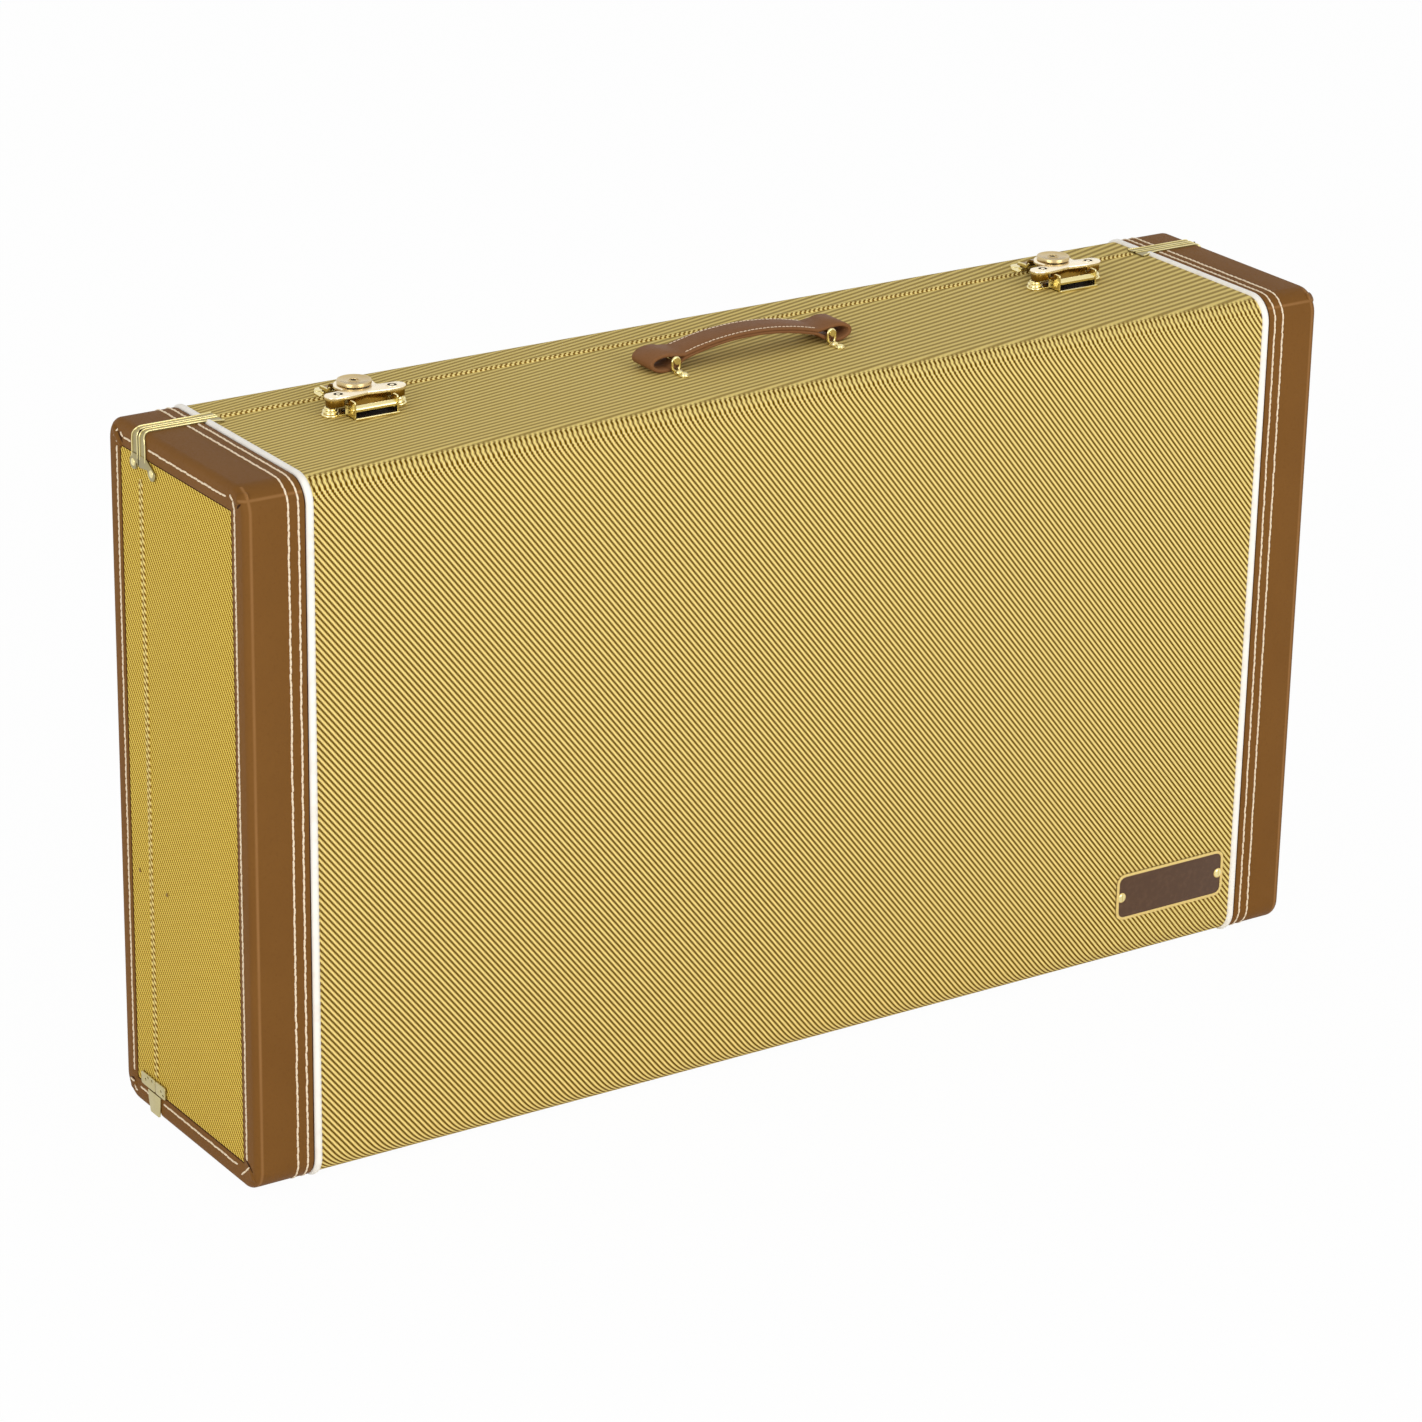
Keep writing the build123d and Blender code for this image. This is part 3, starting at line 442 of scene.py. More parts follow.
def tweed_finish(name, where, top_lines=False, gold=GOLD_THREAD, brown=BROWN_THREAD, thread_shade=0.2):
    """Twill of four threads to a repeat; where gives the cloth's own two directions on the piece."""
    finish = Finish(name, Roughness=0.7, Specular_IOR_Level=0.08)
    x, y, z = finish.place()
    along, down = where(finish, x, y, z)
    warp = along * (THREADS / REPEAT_X)
    weft = down * (THREADS / REPEAT_Z)
    warp_round = abs(warp.math("FRACT") - 0.5) * 2
    weft_round = abs(weft.math("FRACT") - 0.5) * 2
    step = (warp.math("FLOOR") + 0.5) / THREADS
    phase = (step + down / REPEAT_Z).math("FRACT")
    float_up = abs(phase - 0.5).ramp(0.20, 0.29)
    if top_lines:
        lines = (y * (1 / TOP_PITCH - x * TOP_FAN) - x * TOP_SLANT).math("FRACT")
        lines = abs(lines - 0.5).ramp(0.12, 0.38) * 0.56 + 0.29
        top = z.ramp(479.6, 481.2)
        float_up = float_up * (1 - top) + lines * top
    yarn = finish.noise(0.5 * mm, 2.0)
    fade = finish.noise(120 * mm, 2.0)
    # Painted shade: each thread is coloured darker towards its edges, as if shaded by its roundness, by the amount
    # given as the last argument; the yarn noise adds random tone.
    thread = (1 - float_up) * warp_round + float_up * weft_round
    shade = thread.math("POWER", 2.0) * thread_shade + (yarn - 0.5) * 0.4
    color = finish.mix(float_up, brown, gold)
    color = finish.mix(shade.math("MAXIMUM", 0.0), color, brown)
    color = finish.mix((fade - 0.35) * 0.12, color, paint(205, 170, 80))
    finish.feed("Base Color", color)
    finish.relief((1 - thread * thread) + yarn * 0.4, 0.12 * mm)
    return finish


wrap_tweed = tweed_finish("tweed_wrap", lambda f, x, y, z: (x, z - y), top_lines=True)
lid_tweed = tweed_finish("tweed_lid_wrap", lambda f, x, y, z: (x * -1, z + y), top_lines=True)
# The end panels take stronger painted thread shade, which gives them their dotted look.
end_tweed = tweed_finish(
    "tweed_end", lambda f, x, y, z: (y * -1, z), gold=paint(255, 229, 108), brown=paint(144, 96, 4), thread_shade=0.46
)

for half, side in SIDES.items():
    form = Form()
    inner, outer = LEATHER, LEATHER - TWEED
    width = wrap_high[0]
    form.along_half(side, [(-width, inner), (width, inner), (width, outer), (-width, outer)])
    finish = wrap_tweed if half == "deep" else lid_tweed
    wrap = form.piece(half + "_tweed", finish, BODY[half], "tweed", [half + "_tweed_wrap"], smooth=30)
    seats = []
    leaf_low, leaf_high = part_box("hinge_leaves_" + half)
    for middle in (leaf_low[0] + 30 * mm, 0, leaf_high[0] - 30 * mm):
        near = SEAM_Y
        far = leaf_low[1] if side < 0 else leaf_high[1]
        seats.append(((middle - 30 * mm, min(near, far), -mm), (middle + 30 * mm, max(near, far), 3 * mm)))
    carve(wrap, seats)

    panels = Form()
    panel_low, panel_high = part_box(half + "_tweed_ends")
    for end in ENDS.values():
        corners = [(panel_low[1], panel_low[2]), (panel_high[1], panel_low[2])]
        corners += [(panel_high[1], panel_high[2]), (panel_low[1], panel_high[2])]
        place = Matrix(((0, 0, end, end * (panel_high[0] - TWEED)), (1, 0, 0, 0), (0, 1, 0, 0), (0, 0, 0, 1)))
        panels.plate([corners], TWEED, 0.2 * mm, place)
    panels.piece(half + "_end_tweed", end_tweed, BODY[half], "tweed", [half + "_tweed_ends"])


# Seam bead: the tweed is turned over a thin cord along the mouth of each half, on the top and the ends,
# so the seam stands a little proud and its twill shows as slanted ticks.
BEAD_WIDTH = 1.9 * mm
BEAD_HEIGHT = 1.1 * mm
BEAD_END_X = 368 * mm
BEAD_LOW_Z = 28 * mm
BEAD_HIGH_Z = 449 * mm
BEAD_STEPS = 8
TICK_X = 3.80
TICK_Z = 4.76
TICK_LEAN = 0.24
bead_tweed = Finish("tweed_bead", Roughness=0.7, Specular_IOR_Level=0.08)
bead_x, bead_y, bead_z = bead_tweed.place()
ticks = (bead_x / TICK_X + bead_z / TICK_Z - bead_y * TICK_LEAN).math("FRACT")
ticks = abs(ticks - 0.5).ramp(0.14, 0.34)
fuzz = bead_tweed.noise(0.5 * mm, 2.0)
bead_tweed.feed("Base Color", bead_tweed.mix(ticks * (fuzz * 0.3 + 0.8), paint(134, 98, 22), paint(255, 232, 150)))
bead_tweed.relief(ticks + fuzz * 0.4, 0.3 * mm)
arch = [math.pi * step / BEAD_STEPS for step in range(BEAD_STEPS + 1)]
for half, side in SIDES.items():
    form = Form()
    middle = SEAM_Y + side * (SEAM_GAP + BEAD_WIDTH / 2)
    section = [(BEAD_WIDTH / 2 * math.cos(turn), BEAD_HEIGHT * math.sin(turn)) for turn in arch]
    top_z = wrap_high[2] - 0.1 * mm
    rings = []
    for x, rise in ((-BEAD_END_X, 0.2), (-BEAD_END_X + mm, 1), (BEAD_END_X - mm, 1), (BEAD_END_X, 0.2)):
        rings.append([(x, middle + u, top_z + v * rise) for u, v in section])
    form.rings(rings)
    for end in ENDS.values():
        face_x = panel_high[0] - 0.1 * mm
        rings = []
        for z, rise in ((BEAD_LOW_Z, 0.2), (BEAD_LOW_Z + mm, 1), (BEAD_HIGH_Z - mm, 1), (BEAD_HIGH_Z, 0.2)):
            rings.append([(end * (face_x + v * rise), middle + u, z) for u, v in section])
        form.rings(rings)
    form.piece(half + "_seam_bead", bead_tweed, BODY[half], "tweed")


# Leather caps: one smooth brown hide over each end of each half, turned over the edges as a border
# on the end face and stitched in cream thread. Its edges are skived round, and lighter lines along the
# arrises are partly wear and partly painted highlight.
BAND_EDGE_X = 382.7 * mm
END_X = case_high[0]
END_RADIUS = 4.5 * mm
SKIVE = 0.5 * mm
HIDE = paint(125, 84, 38)
HIDE_DARK = paint(106, 68, 28)
HIDE_ARRIS_LIGHT = paint(168, 122, 74)
HIDE_FLOOR = 0.5 * mm


def leather_finish(name, hide_color=HIDE, dark_color=HIDE_DARK, arris_highlights=True):
    finish = Finish(name, Specular_IOR_Level=0.06)
    x, y, z = finish.place()
    cloudy = finish.noise(60 * mm, 3.0)
    pores = finish.node("ShaderNodeTexVoronoi", inputs={"Scale": 900.0})
    creases = finish.noise(2.2 * mm, 4.0)
    color = finish.mix((cloudy - 0.4) * 0.8, hide_color, dark_color)
    color = finish.mix((creases - 0.5).ramp(0.02, 0.3) * 0.3, color, dark_color)
    # Painted highlight, partly wear: lighter lines along the upright and top arrises, where their rounding begins.
    if arris_highlights:
        upright = abs(abs(x) - 420.6).ramp(1.6, 0.2) * (abs(y) > 80)
        ledge = abs(z - 474.5).ramp(1.3, 0.2) * (abs(y) > 85)
        lightening = upright.math("MAXIMUM", ledge) * (cloudy * 0.5 + 0.25)
        color = finish.mix(lightening, color, HIDE_ARRIS_LIGHT)
    finish.feed("Base Color", color)
    finish.feed("Roughness", 0.42 + creases * 0.2)
    finish.relief(pores * 0.3 + creases, 0.10 * mm)
    return finish


hide = leather_finish("brown_hide")


def cap_section(end):
    """Section of the leather over one end, as (x, inset) points: band, rounded arris, border, and back."""
    points = [(BAND_EDGE_X, LEATHER), (BAND_EDGE_X, SKIVE)]
    points += [(BAND_EDGE_X + 0.3 * SKIVE, 0.3 * SKIVE), (BAND_EDGE_X + SKIVE, 0)]
    for step in range(9):
        angle = math.pi / 2 * step / 8
        x = END_X - END_RADIUS * (1 - math.sin(angle))
        points.append((x, END_RADIUS * (1 - math.cos(angle))))
    points += [(END_X, BORDER - SKIVE), (END_X - 0.3 * SKIVE, BORDER - 0.3 * SKIVE), (END_X - SKIVE, BORDER)]
    points += [(END_X - LEATHER, BORDER), (END_X - LEATHER, END_RADIUS), (END_X - END_RADIUS, LEATHER)]
    return [(end * x, inset) for x, inset in points]


for half, side in SIDES.items():
    for hand, end in ENDS.items():
        form = Form()
        form.along_half(side, cap_section(end), floor=HIDE_FLOOR)
        names = [half + "_leather_" + hand]
        if hand == "left":
            names.append(half + "_leather_base")
        form.piece(half + "_hide_" + hand, hide, BODY[half], "leather", names, smooth=50)


# Piping: an off-white vinyl welt of 5.6 mm beside each band, half sunk in the tweed.
PIPING_X = 379 * mm
PIPING_RADIUS = 2.8 * mm
PIPING_STEPS = 14
CLIP_BERTH = 6.4 * mm
# A dark brown finish, in the colour of a raw hide edge, that paints the shade in grooves, gaps and slits.
shade_and_raw_edge = Finish("raw_hide_edge_and_shade", Roughness=0.9, Specular_IOR_Level=0.1)
shade_and_raw_edge.feed("Base Color", shade_and_raw_edge.mix(shade_and_raw_edge.noise(1 * mm), paint(44, 26, 14), paint(78, 48, 28)))
welt = Finish("off_white_welt", Roughness=0.38, Specular_IOR_Level=0.5)
stain = welt.noise(9 * mm, 3.0)
welt.feed("Base Color", welt.mix(stain.ramp(0.45, 0.75) * 0.3, paint(253, 249, 240), paint(226, 214, 198)))
welt.relief(welt.noise(1.5 * mm), 0.05 * mm)
for half, side in SIDES.items():
    form = Form()
    for end in ENDS.values():
        section = []
        for step in range(PIPING_STEPS):
            angle = 2 * math.pi * step / PIPING_STEPS
            inset = LEATHER - PIPING_RADIUS * math.sin(angle)
            section.append((end * (PIPING_X + PIPING_RADIUS * math.cos(angle)), inset))
        form.along_half(side, section, start=CLIP_BERTH)
    form.piece(half + "_welt", welt, BODY[half], "piping", [half + "_piping"], smooth=60)
    # Painted shade: a dark strip sunk between each welt and its band stands in for the shadow in the groove there.
    shadow = Form()
    for end in ENDS.values():
        strip = [(380.4 * mm, LEATHER), (380.4 * mm, 0.8 * mm), (383.6 * mm, 0.8 * mm), (383.6 * mm, LEATHER)]
        shadow.along_half(side, [(end * x, inset) for x, inset in strip], start=0.5 * mm)
    shadow.piece(half + "_welt_groove_shade", shade_and_raw_edge, BODY[half], "piping")

    # Painted shade: a thin dark lip round each end panel, inside the leather border, stands in for the shadow line
    # where the border steps down onto the tweed.
    edge_shade = Form()
    for end in ENDS.values():
        low_x, high_x = panel_high[0] - 0.3 * mm, panel_high[0] + 0.22 * mm
        lip = [(low_x, BORDER - 0.1 * mm), (high_x, BORDER - 0.1 * mm), (high_x, BORDER + 0.6 * mm)]
        lip.append((low_x, BORDER + 0.8 * mm))
        edge_shade.along_half(side, [(end * x, inset) for x, inset in lip], start=3 * mm)
    edge_shade.piece(half + "_panel_edge_shade", shade_and_raw_edge, BODY[half], "leather")


# Stitching: thick cream thread in two rows round each band and one row round each end border. A stitch
# is about 4 mm long and pulled into the hide at its ends, and the hand that fed it was not quite steady.
STITCH_PITCH = 4.7 * mm
STITCH_LENGTH = 4.85 * mm
STITCH_RADIUS = 0.7 * mm
STITCH_SHAPE = (
    (-0.5, 0.5, -0.4), (-0.45, 0.85, -0.15), (-0.2, 1, 0.15), (0.2, 1, 0.15), (0.45, 0.85, -0.15), (0.5, 0.5, -0.4)
)
BAND_ROWS = (387.2 * mm, 394.4 * mm)
SIDE_ROW_Y = {"deep": -79.6 * mm, "lid": 79.0 * mm}
SIDE_ROW_TOP = {"deep": 467.8 * mm, "lid": 463 * mm}
NEAR_SEAM = {"deep": 35 * mm, "lid": 58 * mm}
ROW_ENDS = {
    "deep": ((-68.5 * mm, 472.3 * mm), (-67.2 * mm, 12.6 * mm)),
    "lid": ((70.1 * mm, 471.4 * mm), (71.0 * mm, 11.8 * mm)),
}
CORNER_STITCHES = {
    "deep": (((-73.8, 475.4), (-77.6, 472.4), (-79.6, 467.4)), ((-83.2, 17.9), (-77.5, 12.6), (-71.5, 7.5))),
    "lid": (
        ((83.5, 468.2), (76.9, 474.7)), ((73.4, 473.8), (70.1, 471.2)), ((79.5, 465.5), (77.0, 467.4)),
        ((86.0, 12.6), (78.5, 12.1)), ((78.5, 12.1), (78.2, 7.6), (75.2, 7.3)),
    ),
}
thread = Finish("cream_thread", Roughness=0.85, Specular_IOR_Level=0.2)
twist = thread.noise(0.5 * mm, 2.0)
thread.feed("Base Color", thread.mix(twist.ramp(0.35, 0.7), paint(255, 240, 212), paint(232, 205, 170)))
thread.relief(twist, 0.15 * mm)
unsteady = random.Random(7)


def scaled(points):
    return [(u * mm, v * mm) for u, v in points]


def stitch(form, start, stop, up):
    """One stitch between two points of the surface."""
    along = Vector(stop) - Vector(start)
    middle = (Vector(start) + Vector(stop)) / 2
    across = along.cross(Vector(up)).normalized()
    rings = []
    for reach, size, rise in STITCH_SHAPE:
        centre = middle + along * reach + Vector(up) * rise * STITCH_RADIUS
        ring = []
        for step in range(7):
            turn = 2 * math.pi * step / 7
            ring.append(centre + (across * math.cos(turn) + Vector(up) * math.sin(turn)) * size * STITCH_RADIUS)
        rings.append(ring)
    form.rings(rings)


def sew(form, path, up_of):
    """A row of stitches along a path of points; up_of gives the way out of the hide from the path's run."""
    lengths = [0.0]
    for a, b in zip(path, path[1:]):
        lengths.append(lengths[-1] + (Vector(b) - Vector(a)).length)

    def at(reach):
        for i in range(len(path) - 1):
            if reach <= lengths[i + 1] or i == len(path) - 2:
                run = max(lengths[i + 1] - lengths[i], 1e-9)
                return Vector(path[i]).lerp(Vector(path[i + 1]), (reach - lengths[i]) / run)

    count = int(lengths[-1] / STITCH_PITCH)
    slack = (lengths[-1] - count * STITCH_PITCH) / 2
    for number in range(count):
        start = at(slack + number * STITCH_PITCH)
        stop = at(slack + number * STITCH_PITCH + STITCH_LENGTH)
        along = (stop - start).normalized()
        up = Vector(up_of(along))
        across = along.cross(up)
        drift = unsteady.uniform(-0.22, 0.22) * mm
        slant = unsteady.uniform(-0.2, 0.2) * mm
        stitch(form, start + across * (drift + slant), stop + across * (drift - slant), up)


for half, side in SIDES.items():
    form = Form()
    for end in ENDS.values():
        for row_x in BAND_ROWS:
            path = [(end * row_x, y, z) for y, z in half_path(side, 0, start=7 * mm, floor=0.85 * mm)]
            path[-1] = (end * row_x, SEAM_Y + side * 9 * mm, path[-1][2])
            sew(form, path, lambda along: (0, -side * along.z, side * along.y))
        face_x = end * case_high[0]
        row_y = SIDE_ROW_Y[half]
        (top_end, top_z), (base_end, base_z) = ROW_ENDS[half]
        runs = [[(face_x, NEAR_SEAM[half], top_z), (face_x, top_end, top_z)]]
        runs.append([(face_x, row_y, SIDE_ROW_TOP[half]), (face_x, row_y, 21 * mm)])
        runs.append([(face_x, base_end, base_z), (face_x, SEAM_Y + side * 9 * mm, base_z)])
        for run in runs:
            sew(form, run, lambda along: (end, 0, 0))
        for bent in CORNER_STITCHES[half]:
            for a, b in zip(bent, bent[1:]):
                near, far = (Vector((face_x, y * mm, z * mm)) for y, z in (a, b))
                stitch(form, near.lerp(far, 0.04), far, (end, 0, 0))
    form.piece(half + "_stitches", thread, BODY[half], "leather", smooth=80)


# Corner folds: at each corner of an end the hide is gathered into a padded fold over the mitre, with an
# open slit beside it, drawn as a low ridge in a dark finish that paints the shade inside the slit, in the
# colour of raw hide. A fold or slit is a run of (y, z, half width) along the end face.
FOLDS = {
    "deep": (((-79.5, 470.5, 0.8), (-82.5, 473.2, 2.8), (-85.4, 475.8, 3.8), (-87.0, 477.2, 3.0), (-87.9, 478.0, 0.8)),
             ((-80.0, 19.0, 0.6), (-84.0, 14.6, 2.2), (-86.4, 10.2, 2.4), (-87.8, 8.0, 0.8))),
    "lid": (((72.5, 464.0, 0.9), (75.4, 466.4, 2.6), (79.4, 470.2, 3.4), (83.4, 474.0, 2.8), (85.8, 476.4, 0.8)),
            ((75.0, 13.5, 0.6), (79.5, 10.4, 2.6), (83.4, 8.0, 2.4), (85.8, 6.6, 0.8))),
}
SLITS = {
    "deep": (((-82.4, 468.2, 0.2), (-83.8, 469.8, 0.9), (-86.2, 472.2, 1.0), (-87.4, 473.4, 0.3)),
             ((-76.2, 21.1, 0.5), (-81.9, 18.8, 1.2), (-86.4, 15.6, 0.7), (-90.3, 12.3, 0.2))),
    "lid": (((71.0, 467.0, 0.4), (72.2, 469.2, 1.1), (75.0, 471.2, 0.8), (80.0, 476.4, 0.3)),
            ((76.5, 12.6, 0.4), (80.5, 14.4, 0.9), (87.0, 13.0, 0.3))),
}


def end_face(side, y, z):
    """X of the cap's outer face, with its rounded arris, at a place on the end in millimetres."""
    outer = (case_high[1] if side > 0 else -case_low[1]) / mm
    across = max(side * y - (outer - LONG_RADIUS / mm), 0)
    up = max(abs(z - case_high[2] / mm / 2) - (case_high[2] / 2 - LONG_RADIUS) / mm, 0)
    inset = LONG_RADIUS / mm - math.hypot(across, up)
    lean = min(max(1 - inset / (END_RADIUS / mm), 0), 1)
    return END_X / mm - END_RADIUS / mm * (1 - math.sqrt(1 - lean * lean))


def gathered(form, side, end, run, plump):
    """A swelling along a run of (y, z, half width) on the end face, plump times as high as wide."""
    rings = []
    for i, (y, z, width) in enumerate(run):
        before, after = run[max(i - 1, 0)], run[min(i + 1, len(run) - 1)]
        along = Vector((after[0] - before[0], after[1] - before[1])).normalized()
        x = end_face(side, y, z) - 0.2
        ring = []
        for step in range(14):
            turn = 2 * math.pi * step / 14
            off, rise = width * math.cos(turn), width * plump * math.sin(turn)
            ring.append((end * (x + rise) * mm, (y - along.y * off) * mm, (z + along.x * off) * mm))
        rings.append(ring)
    form.rings(rings)


for half, side in SIDES.items():
    folds, slits = Form(), Form()
    for end in ENDS.values():
        for fold, slit in zip(FOLDS[half], SLITS[half]):
            gathered(folds, side, end, fold, 0.45)
            gathered(slits, side, end, slit, 0.55)
    folds.piece(half + "_corner_folds", hide, BODY[half], "leather", smooth=80)
    slits.piece(half + "_corner_slit_shade", shade_and_raw_edge, BODY[half], "leather", smooth=80)


# Lining: a tray of dark plush glued to the boards of each half.
PLUSH = 2 * mm
PLUSH_ROUND = 6 * mm
plush = Finish("dark_plush", Roughness=0.95, Specular_IOR_Level=0.15)
nap = plush.noise(1.2 * mm, 3.0)
brushed = plush.noise(50 * mm, 2.0)
plush.feed("Base Color", plush.mix(nap * 0.6 + brushed * 0.5 - 0.2, paint(48, 32, 24), paint(84, 60, 46)))
plush.relief(nap, 0.5 * mm)
for half, side in SIDES.items():
    low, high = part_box(half + "_lining")
    back = low[1] if side < 0 else high[1]
    mouth = high[1] if side < 0 else low[1]
    form = Form()

    def tray_ring(y, inset, radius):
        """Rounded oblong at one depth of the tray."""
        ring = []
        width, height = (high[0] - low[0]) / 2 - inset, (high[2] - low[2]) / 2 - inset
        centre = (high[2] + low[2]) / 2
        for corner in range(4):
            for step in range(6):
                angle = math.pi / 2 * (corner + step / 5)
                sign_x = 1 if corner in (0, 3) else -1
                sign_z = 1 if corner in (0, 1) else -1
                x = sign_x * (width - radius) + radius * math.cos(angle)
                z = sign_z * (height - radius) + radius * math.sin(angle)
                ring.append((x, y, centre + z))
        return ring

    steps = [math.pi / 2 * step / 5 for step in range(6)]
    rings = [tray_ring(back, 0, PLUSH_ROUND), tray_ring(mouth, 0, PLUSH_ROUND)]
    rings.append(tray_ring(mouth, PLUSH, PLUSH_ROUND - PLUSH))
    for angle in steps:
        depth = back - side * (PLUSH + PLUSH_ROUND * (1 - math.sin(angle)))
        rings.append(tray_ring(depth, PLUSH + PLUSH_ROUND * (1 - math.cos(angle)), PLUSH_ROUND))
    form.rings(rings)
    form.piece(half + "_plush", plush, BODY[half], "plush", [half + "_lining"], smooth=60)

# Brass: pressed sheet, polished and lacquered to a pale gold, with faint tarnish in patches. The tabs
# and low plates are duller, as they are handled and stood on.
def brass_finish(name, bright, dull, low, high):
    finish = Finish(name, Metallic=1.0)
    patches = finish.noise(14 * mm, 2.0)
    polish = finish.noise(0.6 * mm, 2.0, (6, 1, 1))
    finish.feed("Base Color", finish.mix((patches - 0.35) * 0.7, paint(*bright), paint(*dull)))
    finish.feed("Roughness", low + (patches * 0.6 + polish * 0.4) * (high - low))
    finish.relief(polish, 0.003 * mm)
    return finish


brass = brass_finish("pale_brass", (240, 226, 166), (196, 174, 104), 0.12, 0.28)
dull_brass = brass_finish("dull_brass", (200, 188, 138), (142, 128, 84), 0.28, 0.46)
worn_brass = brass_finish("worn_brass", (170, 158, 112), (98, 88, 54), 0.25, 0.45)
# A darker copy of the brass paints the shade on the hasp's web, hook and skirts under the cover; the stay rivet heads
# take it as their own dark colour.
shaded_brass = brass_finish("shaded_brass", (138, 106, 40), (58, 42, 14), 0.15, 0.4)
for name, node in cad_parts.items():
    if name.startswith(("hinge", "stay", "handle_bars", "handle_rings", "hasp_pins")):
        node.data.materials.clear()
        node.data.materials.append(brass.material)


# Seam clips: two brass strips side by side over each top corner, with rolled edges, bent down the end
# to a leg and a dull riveted tab. Low on each end are two small plates, and a tab over the hinge line.
CLIP = 1.4 * mm
CLIP_INNER_X = case_high[0] - 55 * mm
CLIP_WIDTH = 6 * mm
LEG_WIDTH = 9 * mm
LEG_END_Z = case_high[2] - 19 * mm
RIVET_RISE = 0.6 * mm
DOME = [(2.6, 0), (2.5, 0.25), (2.0, 0.45), (1.1, 0.58), (0.01, 0.6)]


def eased(corners, radius, steps=5):
    """A closed outline whose corners are eased by about a radius."""
    outline = []
    for i, corner in enumerate(corners):
        here = Vector(corner)
        back = Vector(corners[i - 1]) - here
        ahead = Vector(corners[(i + 1) % len(corners)]) - here
        reach = min(radius, back.length * 0.48, ahead.length * 0.48)
        start, stop = here + back.normalized() * reach, here + ahead.normalized() * reach
        for step in range(steps + 1):
            t = step / steps
            outline.append(tuple(start.lerp(here, t).lerp(here.lerp(stop, t), t)))
    return outline


def facing(origin, u, v, w):
    """The place of a plate whose own X, Y and Z run along u, v and w."""
    rows = [(u[i], v[i], w[i], origin[i]) for i in range(3)]
    return Matrix((*rows, (0, 0, 0, 1)))


